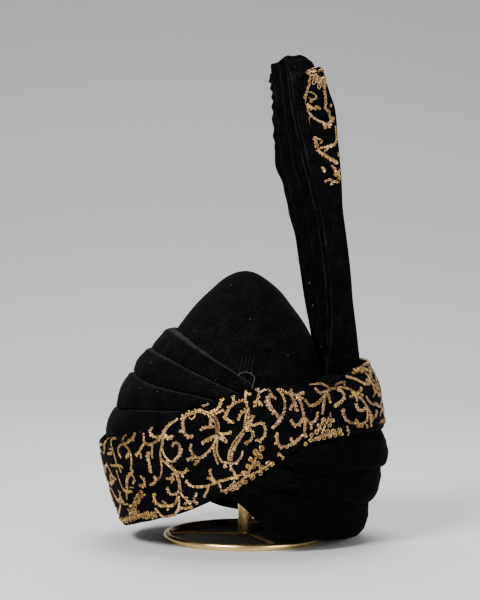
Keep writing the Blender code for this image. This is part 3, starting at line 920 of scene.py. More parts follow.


# The band's vine, charted: millimetres round the near side from the front, then height
BAND_STROKES = (
    line(1.6, 1.6, (57, 77), (54.5, 80), (54, 84), (57, 88), (62, 89.5), (66.5, 87), (69, 83),
         (69.5, 78), (68.5, 72), (66.5, 68)),
    line(2, 3, (68.5, 84), (66, 81), (63.5, 79)),
    line(2.6, 2.6, (57, 50), (61, 60), (69, 67.5)),
    line(2.4, 2.4, (77, 64.5), (81, 60), (80, 56.5), (75, 56)),
    line(1.4, 2.2, (66, 65), (69, 62.5), (69.5, 59), (66.5, 57)),
    line(1, 1, (61, 91.5), (62.5, 95), (66, 98)),
    line(1, 2.8, (62, 91.5), (66, 91), (69, 93.5), (73, 95.5)),
    line(2.8, 1.6, (72, 94.5), (74.5, 98), (75.5, 100.5)),
    line(1.6, 1.6, (53, 93.5), (48, 93), (45.5, 90), (45, 86)),
    line(1.6, 1.6, (48, 84.5), (44, 83.5), (40, 83.5)),
    line(2.5, 1.6, (45, 80.5), (41, 79.5), (36, 79)),
    line(1.4, 1.4, (45, 86), (47, 80), (48, 74), (49, 70)),
    line(2, 2, (37, 69), (43, 69), (49, 70), (57, 69)),
    line(1.6, 1.6, (51, 69), (52.5, 66), (52.5, 64)),
    line(1.2, 1.2, (46, 66), (46.5, 62), (47.5, 57), (49, 53), (50, 50)),
    line(3, 1.4, (50, 50), (55, 48.5), (60, 49), (64, 49.5)),
    line(1.6, 1.6, (55, 48), (54.5, 44), (53, 41)),
    line(1, 1, (61, 52.5), (67, 53)),
    line(1.2, 1.2, (31, 82), (32, 86), (36, 89)),
    line(1.2, 1.2, (28, 37), (35, 36), (40, 37), (46, 36), (53, 37)),
    line(2, 2, (22, 26), (30, 30), (37, 35)),
    line(2, 2, (44.5, 47), (42.5, 43.5), (43.5, 40), (45, 38)),
    line(2.4, 2.4, (33, 21), (42, 23), (52, 26)),
    line(1.6, 1.6, (84.5, 101.5), (84.5, 93)),
    line(2, 2, (84, 93), (88, 92), (92, 92.5), (96, 95), (101, 100)),
    line(1.6, 2.6, (84, 92), (81, 88.5), (79, 85), (75, 82)),
    line(2, 1, (79, 85), (80, 81.5), (80, 79)),
    line(1.4, 1.4, (92, 91.5), (91.5, 87), (91, 83), (91.5, 80)),
    line(3.4, 2.2, (89, 86), (87, 82), (87.5, 76), (88, 71), (88.5, 68.5)),
    line(1.8, 2, (93, 107), (90.5, 103), (92, 100), (96, 98.5), (100, 99.5), (102, 101)),
    line(2.6, 1, (102, 101), (105, 106), (109, 110), (116, 114.5)),
    line(3, 3, (103, 101), (107, 98.5), (111.5, 100)),
    line(1.4, 1.4, (101, 99), (100.5, 92), (99, 86), (99, 80), (99.5, 74), (98.5, 67), (96, 63.5)),
    line(1.4, 1.4, (102.5, 99), (101.5, 93), (101, 88), (103, 83), (106, 79.5), (109, 78)),
    line(1.6, 2.6, (104, 82), (108, 78.5), (113, 80.5), (116.5, 84.5)),
    line(3, 1.5, (116.5, 84.5), (117.5, 89), (116, 93.5), (112.5, 94.5), (110.3, 91)),
    line(2, 1.6, (117, 87), (119.5, 87)),
    line(2.2, 2.2, (99.5, 80), (104, 77), (108, 74), (112, 70.5)),
    line(1.6, 2, (112, 70.5), (117, 69.8), (121, 70.5), (122.5, 73)),
    line(2.2, 1.6, (111, 70), (109.5, 67), (109, 64)),
    line(2, 2, (102.5, 64), (106, 64), (110.5, 64)),
    line(1.6, 1.6, (109, 63.5), (107.5, 60)),
    line(2, 2, (118, 69), (118.5, 66.5)),
    line(1.3, 1.3, (112, 69.5), (113.5, 65), (114.5, 60), (114, 54)),
    line(1.3, 1.3, (114, 69), (115.5, 64), (116, 58), (116, 53)),
    line(1.8, 2, (103.5, 57), (104, 54), (106, 51), (109, 50.5), (112, 52), (114, 53.5)),
    line(1.6, 1.6, (115, 53), (117, 50.5), (119, 48)),
    line(1.6, 1.6, (127, 48), (130, 51.5), (129.5, 53.5)),
    line(1.6, 1.6, (113, 50), (110, 44), (107, 41)),
    line(1.8, 1.8, (114, 50), (113, 43), (112, 39), (109, 35)),
    line(2, 2, (112, 40), (118, 39.5), (125, 41)),
    line(3, 1.8, (90.5, 50.5), (88, 47.5), (88.5, 44), (91, 41.5), (95, 40), (100, 40.5), (105, 41),
         (108, 42)),
    line(2, 2, (96, 44.5), (99, 42.5), (102, 40.5)),
    line(2.4, 1.4, (101, 40), (102, 36.5)),
    line(1.8, 1.2, (87.5, 37.5), (89.5, 35), (92, 32.5), (95, 30.5), (100, 31.5), (108, 33.5)),
    line(2, 2.4, (96, 63.5), (93, 62), (90, 59), (87, 57.5)),
    line(2, 2, (93, 62.5), (92, 65)),
    line(2, 2, (109, 35), (112, 37.5), (115, 39)),
    line(2.4, 2.4, (129, 101), (125, 100.5), (121.5, 102.5), (120.5, 107), (120, 112), (121, 116.5),
         (124, 119), (128, 120), (132, 121.5), (136, 121)),
    line(1.6, 1.6, (116.5, 103.5), (120, 106)),
    line(1, 1, (121.5, 114), (124, 118), (127, 114.5), (129.5, 116.5), (131, 120)),
    line(1.6, 1.6, (133, 123), (139, 121), (144, 119.5), (148, 115.5), (150, 110), (149.5, 104)),
    line(1.2, 1.2, (136, 120.5), (141, 118.5), (145.5, 114.5), (147.8, 109.5), (148, 104)),
    line(1.4, 1.4, (136, 125.5), (139, 126.5), (142, 127.5)),
    line(1.8, 3, (142, 121), (148, 123), (151.5, 127.5), (152.5, 132)),
    line(1.6, 2, (146, 120), (150, 121), (154, 123)),
    line(2, 3.4, (142, 118), (143.5, 114), (143, 110)),
    line(3, 1.4, (146, 109.5), (141, 108.5), (137, 107.5), (135, 105.5)),
    line(2, 2, (150, 104), (153, 103), (157, 103.5), (160, 105)),
    line(3.6, 2, (150, 101), (153, 99), (156.5, 96.5)),
    line(2, 3, (147, 102), (143, 99.5), (139, 97), (136.5, 95.5)),
    line(1.8, 1.8, (148.5, 103), (147, 97), (144.5, 92), (141, 88), (137, 84.5), (133, 82.5)),
    line(2, 1.8, (133, 82.5), (129.5, 84.5), (127, 88), (126.5, 92), (127.5, 94.5)),
    line(2.4, 2.4, (130, 82.5), (124, 81.5)),
    line(3, 1.6, (133, 81), (131, 78.5), (129.5, 76.5)),
    line(1.6, 1.6, (149, 99), (148.5, 93), (148.5, 88), (150.5, 83), (153, 80), (157, 79), (162, 79)),
    line(1.4, 1.4, (146.5, 97), (146, 91), (146.5, 86), (148, 81), (149.5, 77.5)),
    line(2.4, 2.4, (155, 78), (155, 75.5)),
    line(2, 1.2, (157, 79), (162, 78.8), (166, 80.5), (169, 85), (170, 89.5)),
    line(1.2, 1.2, (158, 80.5), (158.5, 87), (161, 93.5), (165, 99.5), (169, 104.5), (171, 107.5)),
    line(1.2, 1.2, (160.5, 80.5), (162, 88), (165, 94), (168.5, 99.5), (171.5, 104.5)),
    line(1.3, 1.3, (159.4, 80.5), (160.4, 87), (163, 92.5), (167, 98.5), (170.5, 104)),
    line(1.4, 1.4, (171, 108), (172, 114), (173, 119.5), (172.5, 123), (171, 124.5)),
    line(2, 1.6, (172.5, 108), (174.5, 114), (175, 120), (174, 126), (172.5, 131), (172.5, 134),
         (173.5, 137.5)),
    line(1.6, 2, (173.5, 121), (170.5, 121.5), (168, 119.5), (166.5, 115.5)),
    line(2, 2, (172.5, 134), (173, 138)),
    line(2, 2, (174, 136), (177.5, 136)),
    line(1.8, 2.6, (171.5, 131), (168, 130.5), (164, 129), (160, 126), (157, 121.5), (156, 117.5),
         (158, 114), (162, 113)),
    line(2, 2, (156.5, 118), (154.5, 117)),
    line(2, 2, (162.5, 129.5), (162.5, 134)),
    line(1.6, 2, (172, 107), (175, 111), (177.5, 115), (178, 118)),
    line(1.8, 2.4, (172.5, 106.5), (176, 109.5), (180, 110.5), (184, 112), (188, 110.5), (189, 105),
         (188, 101), (185, 98), (181.5, 98)),
    line(1.8, 2, (172, 105.5), (176, 106.5), (178.5, 104), (177.5, 99.5), (175, 97), (172.5, 96)),
    line(1.8, 1.8, (121.5, 64), (123, 61), (127, 58.5), (133, 58.5), (140, 59.5), (145, 61.5),
         (149, 63.5), (155, 65), (161, 66.5), (166, 67)),
    line(2.6, 1.8, (142.5, 74), (142.5, 70), (144, 66.5), (146.5, 64)),
    line(2, 2, (139, 66), (142, 65.5), (145, 63.5)),
    line(2.4, 1.6, (149.5, 62.5), (150.5, 59.5), (150, 58)),
    line(2.6, 1.6, (141, 58.5), (140, 55.5), (137.5, 52), (136.5, 49.5)),
    line(2, 2, (159.5, 78), (160.5, 74), (163, 71), (164, 67.5)),
    line(1.6, 1.6, (163, 68), (168, 69), (172, 71)),
    line(2.6, 2.6, (200, 87), (202.5, 84), (205.5, 82)),
    line(1.8, 1.8, (180.5, 140.5), (184, 137.5), (183, 134), (182, 131)),
    line(3.4, 1.6, (182.5, 131), (181, 128), (180.5, 125.5)),
    line(3, 1.6, (183, 130), (185.5, 128), (187, 127.5)),
    line(1.4, 1.4, (185, 137.5), (189, 139.5), (192.5, 139), (194.5, 136)),
    line(4, 2.2, (194.5, 137), (192, 134), (191.5, 130), (193, 125.5), (196, 121.5), (199.5, 118),
         (202, 116)),
    line(1.8, 1.8, (194, 134), (197.5, 132.5)),
    line(1.6, 2, (199, 140), (201.5, 138), (204, 134.5), (205.5, 130), (205.5, 124), (204, 119),
         (202, 116)),
    line(2.2, 2.2, (200, 140), (205, 138), (209, 136), (212, 134.5)),
    line(2.8, 1.8, (202, 116), (199.5, 113), (197.5, 110.5), (195, 108.5)),
    line(1.8, 1.8, (211.5, 140), (212, 137), (213, 134)),
    line(3, 2.4, (214, 134), (218, 134.5), (222, 136.5)),
    line(2, 1.4, (218, 134), (221, 132), (222.5, 131.5)),
    line(4, 2, (213, 133), (214, 129), (215, 125), (215, 122)),
    line(2.4, 1.4, (212.5, 127), (211, 124.5), (209.5, 123)),
    line(2, 1.6, (216, 133), (219, 129), (220.5, 124), (221.5, 119), (222, 114), (222.5, 109),
         (222.5, 104), (223.5, 99)),
    line(1.8, 2.4, (211, 115), (212, 112), (214.5, 109.5), (218, 111), (220.5, 115)),
    line(2.6, 1.6, (222.5, 116), (225, 113), (228, 111), (231.5, 112.5), (233.5, 116), (234, 120)),
    line(3.4, 1, (228.5, 111), (228.5, 107), (229, 105.5)),
    line(2.2, 2.6, (222, 102), (219, 99.5), (216, 96.5), (212, 94), (207, 92), (203, 92), (200, 94.5),
         (199, 98), (199, 103.5)),
    line(2, 2, (200, 95), (197.5, 95)),
    line(3.4, 2, (210, 99.5), (211.5, 97), (213, 95)),
    line(1.4, 1.4, (222, 93), (225.5, 93.5)),
    line(1.8, 2.4, (223.5, 131), (226, 127), (228, 125.5), (234, 127), (240, 131), (247, 137)),
    line(1.8, 2.6, (234, 140), (236, 137), (239, 135.5), (243, 136), (247, 137)),
    line(1.4, 1.4, (229, 143), (235, 143), (241, 142.5), (245, 141), (249, 138.5), (253, 138)),
    line(1.8, 1.8, (250, 138), (258, 138), (264, 138), (269, 136.5), (273, 133)),
    line(1.6, 1.6, (254, 140), (258, 142), (263, 142.5), (267, 142.5)),
    line(1.6, 1.6, (264, 142), (265, 139.5)),
    line(1.8, 3, (256, 137), (260, 135), (261.5, 131.5), (258, 127.5), (254, 125.5), (251, 124)),
    line(2.4, 1.8, (245, 135), (246.5, 131), (247, 127.5)),
    line(2.8, 1.4, (243, 134), (241.5, 129), (240.5, 124), (239, 117.5)),
    line(3, 2, (259, 121.5), (258.5, 117), (260.5, 113), (264, 110), (268, 108.5), (271, 108)),
    line(4, 3, (271, 111), (273.5, 108), (276, 105)),
    line(2, 2.6, (276, 106.5), (280, 107), (284, 108), (286.5, 111), (287.5, 116), (285, 119),
         (280, 118), (275, 119.5), (273, 123.5)),
    line(2, 2, (278, 106), (279, 103.5)),
    line(2, 2, (285, 106), (286, 103.5)),
    line(3, 2, (270, 134), (275, 132.5), (280, 134), (283.5, 136.5)),
    line(1.6, 3, (266.5, 130), (271, 130.5), (276, 130)),
    line(2, 2, (280, 132), (283.5, 130)),
    line(2.4, 1.4, (275, 131), (274.5, 128), (276, 126.5)),
    line(1.8, 1.8, (277, 130), (281, 127), (285, 123), (288, 119.5), (292, 115), (294, 112)),
    line(2.4, 2.4, (261.5, 107), (263, 103), (265, 99.5)),
    line(1.6, 2.4, (288, 129.5), (292, 125), (298, 121.5), (305, 121.5), (310, 119)),
    line(2, 3, (269, 147), (274, 146), (280, 144), (286, 141.5), (291, 139.5), (300, 139.5), (308, 144),
         (312, 147)),
    line(1.6, 1.6, (278, 149), (285, 149.5), (293, 151), (300, 151.8), (306, 151), (312, 147)),
    line(2.2, 2.8, (292, 153.6), (299, 155.6), (306, 156.4), (314, 156.8), (324, 157), (333, 157),
         (342.4, 157)),
    line(2, 2.4, (300, 150.5), (304, 145), (306, 138), (306.5, 131)),
    line(2, 2.6, (322, 155.2), (332, 155.4), (342.4, 155.4)),
    line(1.8, 2.4, (302, 151.5), (309, 149.5), (316, 149.8), (322, 151)),
    line(3.4, 2, (292, 114), (292, 109), (292, 104)),
    line(2.6, 1.8, (292, 110), (298, 110.5), (302, 112), (304, 115)),
    line(2.4, 3.2, (304, 141), (309, 143.5), (314, 146), (318, 149)),
    line(2, 3, (304, 134), (310, 131.5), (316, 128.5), (322, 127.5)),
    line(1.6, 1.6, (300, 127), (305, 129.5), (309, 132)),
    line(1.8, 2.4, (305, 139), (311, 136), (317, 134)),
    line(2, 2, (309, 104), (314, 105.5), (320, 104)),
    line(2.2, 2.6, (330, 142), (324, 139), (321, 133), (324, 127.5), (330, 126), (334, 129),
         (333, 133)),
    line(1.6, 2.4, (321, 133), (316, 136), (313, 140)),
    line(1.8, 1.8, (304, 121), (311, 118.5), (318, 119), (324, 122.5), (324, 127)),
    line(2, 2, (318, 119), (323, 114), (330, 111.5), (337, 113), (342.4, 117)),
    line(1.8, 1.8, (312, 147), (320, 148.5), (328, 147), (335, 144), (342.4, 143)),
    line(2, 2, (335, 144), (337, 139), (342.4, 136)),
    line(3, 3, (342.4, 122), (342.4, 130)),
    line(2, 2, (312, 110), (318, 113), (326, 114.5), (334, 113), (342, 112)),
    line(1.4, 1.4, (37, 89.5), (33, 88), (30, 84), (29, 80), (25, 77.5), (18, 79), (9, 80), (0, 78)),
    line(1.2, 2, (27, 85), (21, 84.5), (16, 83)),
    line(1.6, 2.2, (29, 66.5), (25, 66.5), (21, 65), (18, 63), (20, 61)),
    line(1.3, 1.6, (27, 70), (30, 65.5), (34, 61), (40, 58)),
    line(1.8, 2.4, (42, 57), (37, 58.5), (32, 60), (28, 57.5), (27, 53.5), (23, 51.5), (16, 52),
         (10, 56), (9, 62), (13, 66)),
    line(2, 2, (0, 66), (4, 70), (3, 74)),
    line(1.8, 2.2, (43.5, 40), (37, 38.5), (30, 38), (25, 41), (22, 45), (15, 46), (9, 43), (7, 38),
         (10, 34)),
    line(2.2, 2.2, (37, 35), (31, 30), (22, 26), (12, 24.5), (0, 24.5)),
    line(2, 2, (0, 36), (5, 31), (11, 30), (16, 33)),
    line(3, 3, (0, 50), (0, 58)),
    line(2, 2.6, (23, 49.5), (28, 51.5), (33, 54), (36, 55)),
    line(1.6, 1.6, (30, 38), (27, 40.5), (22, 42)),
    line(1.8, 2.4, (41, 48), (42.5, 43), (39, 40)),
    line(1.2, 1.2, (34, 92.5), (38, 91.5), (42, 93.5)),
    line(1.6, 1.6, (172, 67), (174.5, 70), (176.5, 74), (178.5, 78.5), (181, 83), (184, 87.5),
         (186, 90)),
    line(1.7, 1.7, (168.5, 64.5), (172, 67), (176, 68.4), (180, 70.4), (184, 72), (187, 73.6),
         (190.5, 75.8), (194, 78)),
    line(1.5, 1.5, (152, 55), (157, 57), (162, 59.5), (166, 62), (168.5, 64.5)),
    line(1.5, 1.5, (238, 101), (240, 106), (241.5, 109.5), (243.5, 113), (245, 115)),
    line(1.6, 1.6, (229, 96), (233, 98.4), (237, 99.8), (242, 100.2), (248, 100.6), (253, 101)),
)
BAND_FIELDS = (
    BerryField(9.8, 6.6, (52, 28.5), (86, 31)),
    BerryField(9.8, 6.0, (58, 33), (77, 49)),
    BerryField(6.0, 4.0, (120, 46), (130, 45)),
    BerryField(4.0, 5.0, (326, 103), (342.4, 104)),
    BerryField(3.2, 5.4, (284, 151), (303, 150)),
    BerryField(3.0, 4.2, (298, 141.5), (308, 143)),
    BerryField(3.0, 3.6, (306, 155.8), (336, 156.2)),
    BerryField(4.0, 4.0, (0, 17), (34, 20)),
    BerryField(3.0, 4.5, (36, 20.5), (60, 26)),
)

BAND_BERRIES = (
    Berry(186, 91.5, 1.5), Berry(180.8, 88, 1.6), Berry(184.8, 84.8, 1.5), Berry(177, 81.8, 1.35),
    Berry(182, 78.6, 1.6), Berry(175, 75.8, 1.45), Berry(179.5, 75.4, 0.9), Berry(171, 70.6, 1.45),
    Berry(174.8, 71, 0.8), Berry(185.8, 75.4, 1.3), Berry(191.6, 78.6, 1.35), Berry(195, 77.8, 1.2),
    Berry(190.2, 74.6, 1.2), Berry(185, 70.9, 1.5), Berry(178.4, 67, 1.45), Berry(171.6, 63.2, 1.5),
    Berry(167.4, 61.4, 1.1), Berry(165, 58.6, 1.15), Berry(162.8, 62.2, 1.0), Berry(160.6, 59.8, 1.05),
    Berry(161.4, 57, 1.0), Berry(158, 57.6, 1.05), Berry(155.4, 54.8, 1.0), Berry(152, 55.6, 0.7),
    Berry(245.8, 117, 1.35), Berry(247.4, 112.2, 1.25), Berry(239.6, 113.2, 1.2),
    Berry(244.9, 108.2, 1.2), Berry(242.6, 111, 0.9), Berry(235.3, 108.2, 1.15),
    Berry(238.2, 110.2, 0.8), Berry(233.4, 103.6, 1.3), Berry(236.2, 105.6, 0.9), Berry(240, 103, 1.1),
    Berry(243.8, 103.2, 1.25), Berry(248.6, 103.4, 1.25), Berry(251.4, 102.2, 0.9),
    Berry(254.4, 103.8, 1.3), Berry(256, 100.4, 1.2), Berry(228.8, 101, 1.1), Berry(228.4, 96.8, 1.1),
    Berry(231.6, 97, 0.9), Berry(235.6, 97.6, 1.1), Berry(240.6, 98, 1.1), Berry(246, 98.8, 1.1),
    Berry(250.8, 99.4, 1.1), Berry(224, 93.6, 1.0),
)

# The plume's end strip: millimetres from its back edge, then height
STRIP_STROKES = (
    line(1.2, 1.2, (16, 401.5), (12, 403.8), (7, 405.3), (1, 406.8)),
    line(1.2, 1.2, (16, 401), (13, 399), (9.5, 398.6), (7.5, 400)),
    line(1.8, 1.8, (14, 401.3), (10, 402), (7, 403)),
    line(1.8, 1.4, (0.6, 403), (0.4, 399), (0.8, 395)),
    line(1.8, 1.4, (2.5, 392), (3.6, 388), (4.6, 384), (5.2, 380), (6, 376.5)),
    line(1.6, 1.6, (15, 394), (16.5, 390.5), (18.5, 387), (20.5, 383.5)),
    line(1.1, 1.1, (20, 384.5), (16.5, 384.8), (13.4, 382.6), (13.6, 379.4), (17, 378.8),
         (19.5, 380.5)),
    line(1.8, 2.2, (20.5, 383.5), (22.5, 380), (24, 376.5), (23.6, 372.5)),
    line(2.6, 3.2, (22.5, 375), (19.5, 372.2), (16.5, 371.6), (13.5, 373)),
    line(1.6, 1.6, (23.5, 372), (22, 368), (19.5, 364.8), (16, 361.8), (12, 359.6)),
    line(2.6, 2.6, (12.5, 359.8), (9, 358.2), (6, 358.8), (3.6, 361.5)),
    line(1.6, 2.4, (4.4, 361.5), (4.8, 365.5), (6, 369.5), (8, 372.5)),
    line(1, 1, (19.5, 364.5), (22.4, 363.8), (23.8, 361), (22.6, 357.5)),
    line(1.4, 1.4, (3.2, 372), (2, 375)),
    line(2, 3, (19.2, 348), (18.6, 344), (17.6, 339.8)),
    line(1.4, 1.2, (19, 347.6), (16, 346), (13.2, 344.2), (15.5, 342)),
    line(1.4, 1.6, (0.6, 357), (0.6, 351), (0.9, 345.5), (2.2, 342.6)),
    line(2.4, 2.4, (2, 342), (6, 340.2), (10, 339.2)),
    line(1.4, 1.4, (10, 339.2), (14, 338.8), (17, 337.5), (19, 335.5)),
    line(2, 3, (17.5, 336), (13, 333), (9, 330.2), (5.5, 327.8), (2.6, 326)),
    line(1.4, 1.4, (0.4, 335), (0.6, 331)),
    line(1.6, 2.6, (7.5, 324), (5.2, 321), (4.2, 317.5), (5.4, 315)),
    line(1.6, 2.2, (0.4, 321), (2, 317), (1.6, 312.5)),
    line(1.4, 2.2, (13.6, 306.5), (13.2, 310), (10.5, 311.6), (6.5, 310.6), (1, 309)),
    line(2.4, 1.6, (8.6, 310.4), (7.4, 307.4)),
    line(2.4, 1.6, (3.6, 309.6), (3, 306.8)),
)
STRIP_PETALS = (
    Petal((6.5, 398.5), (13.2, 391.2), 3.4),
    Petal((5.4, 397.6), (8.8, 387.4), 3.6),
    Petal((3.8, 397), (4.6, 389), 2.8),
    Petal((7, 400), (14.4, 395.6), 2.8),
    Petal((2.4, 398), (0.6, 391), 2.4),
    Petal((9.6, 358.6), (9.6, 354.6), 2.4),
    Petal((6.6, 358.8), (5.8, 355.2), 2.4),
    Petal((14.2, 322.4), (13.6, 318.2), 2.6),
)
STRIP_BERRIES = (
    Berry(3.6, 402.4, 1.35), Berry(6.4, 375.4, 0.85), Berry(18.4, 377.2, 0.8), Berry(2.6, 363.2, 0.85),
    Berry(15.4, 393.8, 0.7), Berry(11.2, 336.2, 0.75), Berry(15, 321.6, 0.7),
)


class StitchRing(NamedTuple):
    """One ring of points on a stitch: its share of the run, then its lift and radius in stitch radii."""

    share: float
    lift: float
    radius: float


@dataclass
class Couching:
    """Works gold thread onto a cloth surface, from a chart in millimetres.

    Threads, wires and stitches are given by their radius in metres, and widths on the chart in millimetres.
    """

    find: Callable[[float, float], Hit]
    sides: int = 5
    step: float = 0.70
    fewest_points: int = 3
    end_taper: float = 0.5
    sunk: float = 0.5
    thread: float = 0.42 * MM
    thread_share: float = 0.285
    offset_share: float = 0.31
    rise_share: float = 0.25
    widest_stem: float = 1.7
    wander: float = 0.12
    wander_length: float = 4.3
    vein_width: float = 1.40
    vein_overlap: float = 0.4
    filling_from: float = 2.6
    filling_share: float = 0.75
    lobe_pitch: float = 2.6
    lobe_half: float = 0.736
    lobe_widening: float = 0.092
    lobe_lean: float = 0.50
    lobe_points: int = 8
    lobe_thread: float = 0.55 * MM
    lobe_foot: float = 0.3
    lobe_stitch: float = 0.72
    lobe_shift: float = 0.30
    unevenness: float = 0.24
    stitch: float = 0.50 * MM
    stitch_rings: tuple[StitchRing, ...] = (
        StitchRing(0.0, -0.2, 0.5),
        StitchRing(0.28, 0.9, 1.0),
        StitchRing(0.72, 0.9, 1.0),
        StitchRing(1.0, -0.2, 0.5),
    )
    shortest_stitch: float = 0.2 * MM
    petal_points: int = 18
    petal_lift: float = 0.8
    petal_stitch: Span = (0.15, 0.80)
    berry_radius: float = 1.32 * MM
    berry_wire: float = 0.58 * MM
    berry_wire_growth: float = 0.4
    berry_rings: int = 11
    berry_spacing: float = 3.9
    berry_row_share: float = 0.95
    berry_zigzag: float = 0.9
    berry_scatter: float = 0.48
    berry_sizes: Span = (0.62, 1.02)
    berry_tilt: float = 0.22
    berry_lifts: Span = (0.5, 1.2)
    berry_squash: float = 0.16
    berry_stitch: float = 0.6
    heart_from: float = 1.15
    heart_share: float = 0.42
    heart_wire: float = 0.46 * MM
    filled_share: float = 0.30
    knot_from: float = 1.8
    knot_share: float = 0.75
    knot_size: float = 0.66
    seed: int = 7
    tone_spread: float = 0.15
    least_rose: float = 0.12
    golden_until: float = -1.0
    golden_over: float = 60.0
    draft: MeshDraft = field(default_factory=MeshDraft)

    def __post_init__(self) -> None:
        """Starts the seeded draw for the hand-laid unevenness."""
        self.draw = np.random.default_rng(self.seed)

    def shade_near(self, tone: float) -> float:
        """A shade close to another."""
        return float(np.clip(tone + self.draw.normal(0, self.tone_spread), 0, 1))

    def shade_at(self, across: float) -> float:
        """A shade for the work at a place across the chart, more golden before golden_until."""
        share = float(ease(across, self.golden_until, self.golden_until + self.golden_over))
        return self.draw.uniform(0, 1) * (self.least_rose + (1 - self.least_rose) * share)

    def lay(self, chart: np.ndarray, lift: np.ndarray, tone: float, radius: float) -> None:
        """Lays one thread along chart points.

        Args:
            chart: chart points at equal steps.
            lift: the height of each over the cloth, in metres.
            tone: the thread's shade, 0 golden to 1 rosy.
            radius: the thread's radius, in metres.
        """
        found = [(self.find(u, z), rise) for (u, z), rise in zip(chart, lift)]
        kept = [(hit[0] + hit[1] * rise, hit[1]) for hit, rise in found if hit is not None]
        if len(kept) < self.fewest_points:
            return
        points = np.array([spot for spot, _ in kept])
        normals = np.array([normal for _, normal in kept])
        run = unit_rows(np.gradient(points, axis=0))
        side = unit_rows(np.cross(run, normals))
        scale = np.ones(len(points))
        scale[[0, -1]] = self.end_taper
        self.tube(points, side, np.cross(side, run), scale * radius, run_along(points), tone)

    def tube(
        self,
        points: np.ndarray,
        side: np.ndarray,
        up: np.ndarray,
        radius: np.ndarray,
        along: np.ndarray,
        tone: float,
        closed: bool = False,
    ) -> None:
        """Adds a round tube to the draft.

        Args:
            points: its centre line.
            side: unit vectors across it.
            up: unit vectors square to both.
            radius: its radius at each point.
            along: the run at each point, for the thread's twist.
            tone: the thread's shade.
            closed: whether it is a ring.
        """
        angles = TURN * np.arange(self.sides) / self.sides
        sideways = side[:, None, :] * np.cos(angles)[:, None]
        upwards = up[:, None, :] * np.sin(angles)[:, None]
        rings = points[:, None, :] + (sideways + upwards) * radius[:, None, None]
        count = len(points) * self.sides
        self.draft.add(
            rings.reshape(-1, 3),
            tube_faces(len(points), self.sides, closed),
            along=np.repeat(along, self.sides),
            around=np.tile(0.5 + 0.5 * np.sin(angles), len(points)),
            tone=np.full(count, tone),
        )

    def pair(self, chart: np.ndarray, width: float, tone: float) -> None:
        """Two threads side by side, with a thin dark gap between them.

        Args:
            chart: chart points at equal steps.
            width: the width over both, in chart millimetres.
            tone: the thread's shade.
        """
        across = across_of(chart)
        distance = run_along(chart)
        start = self.draw.uniform(0, TURN)
        radius = width * self.thread_share * MM
        for side in (-1, 1):
            wave = np.sin(TURN * distance / self.wander_length + start + side)
            offset = side * width * self.offset_share * (1 + self.wander * wave)
            lift = radius * (self.sunk + self.rise_share * (1 + wave))
            self.lay(chart + across * offset[:, None], lift, tone, radius)

    def stroke(self, stroke: Stroke) -> None:
        """Works one stroke: two threads where it is narrow, and a leaf, often with a knot, where it is broad.

        Args:
            stroke: the stroke.
        """
        middle = spline(np.array(stroke.knots, float), self.step)
        width = np.linspace(stroke.start, stroke.end, len(middle))
        tone = self.shade_at(stroke.knots[0][0])
        if max(stroke.start, stroke.end) <= self.widest_stem:
            self.pair(middle, float(width.mean()), tone)
        else:
            self.leaf(middle, width, tone)
        if stroke.end >= self.knot_from and self.draw.uniform() < self.knot_share:
            self.berry(middle[-1], self.knot_size, tone)

    def leaf(self, middle: np.ndarray, width: np.ndarray, tone: float) -> None:
        """A broad stroke: two threads along its hollow side, and leaning lobes that scallop its outer side.

        Args:
            middle: its chart points.
            width: its width at each.
            tone: the thread's shade.
        """
        across = across_of(middle)
        way = np.column_stack((across[:, 1], -across[:, 0]))
        bend = np.sum(np.diff(way, axis=0) * across[:-1])
        outward = -across if bend > 0 else across
        inner = middle - outward * ((width - self.vein_width) / 2)[:, None]
        self.pair(inner, self.vein_width, tone)
        if width.max() > self.filling_from:
            beside = inner + outward * (self.vein_width * self.filling_share)
            lift = np.full(len(beside), self.thread * self.sunk)
            self.lay(beside, lift, self.shade_near(tone), self.thread)
        distance = run_along(middle)
        count = max(1, round(distance[-1] / self.lobe_pitch))
        for k in range(count):
            at = distance[-1] * (k + 0.5 + self.draw.uniform(-1, 1) * self.lobe_shift / 2) / count
            spot, ahead, out = (
                np.array([np.interp(at, distance, rows[:, axis]) for axis in (0, 1)])
                for rows in (inner, way, outward)
            )
            reach = float(np.interp(at, distance, width)) - self.vein_width * self.vein_overlap
            self.lobe(spot, ahead, out, reach * (1 + self.draw.normal(0, self.unevenness)), tone)

    def lobe(self, spot: np.ndarray, way: np.ndarray, out: np.ndarray, reach: float, tone: float) -> None:
        """One lobe of a leaf's scalloped side: an arched thread round a short stitch.

        Args:
            spot: the chart point on the leaf's vein that it starts at.
            way: the vein's direction there.
            out: the direction away from it.
            reach: how far it reaches, in chart millimetres.
            tone: the thread's shade.
        """
        turn = np.linspace(0, math.pi, self.lobe_points)
        half = self.lobe_half + self.lobe_widening * reach
        along = -half * np.cos(turn) + self.lobe_lean * reach * np.sin(turn)
        chart = spot + np.outer(along, way) + np.outer(reach * np.sin(turn), out)
        shade_of = self.shade_near(tone)
        lift = self.lobe_thread * (self.lobe_foot + (1 - self.lobe_foot) * np.sin(turn))
        self.lay(chart, lift, shade_of, self.lobe_thread)
        self.lay_stitch(spot, spot + (way * self.lobe_lean + out) * reach * self.lobe_stitch, shade_of)

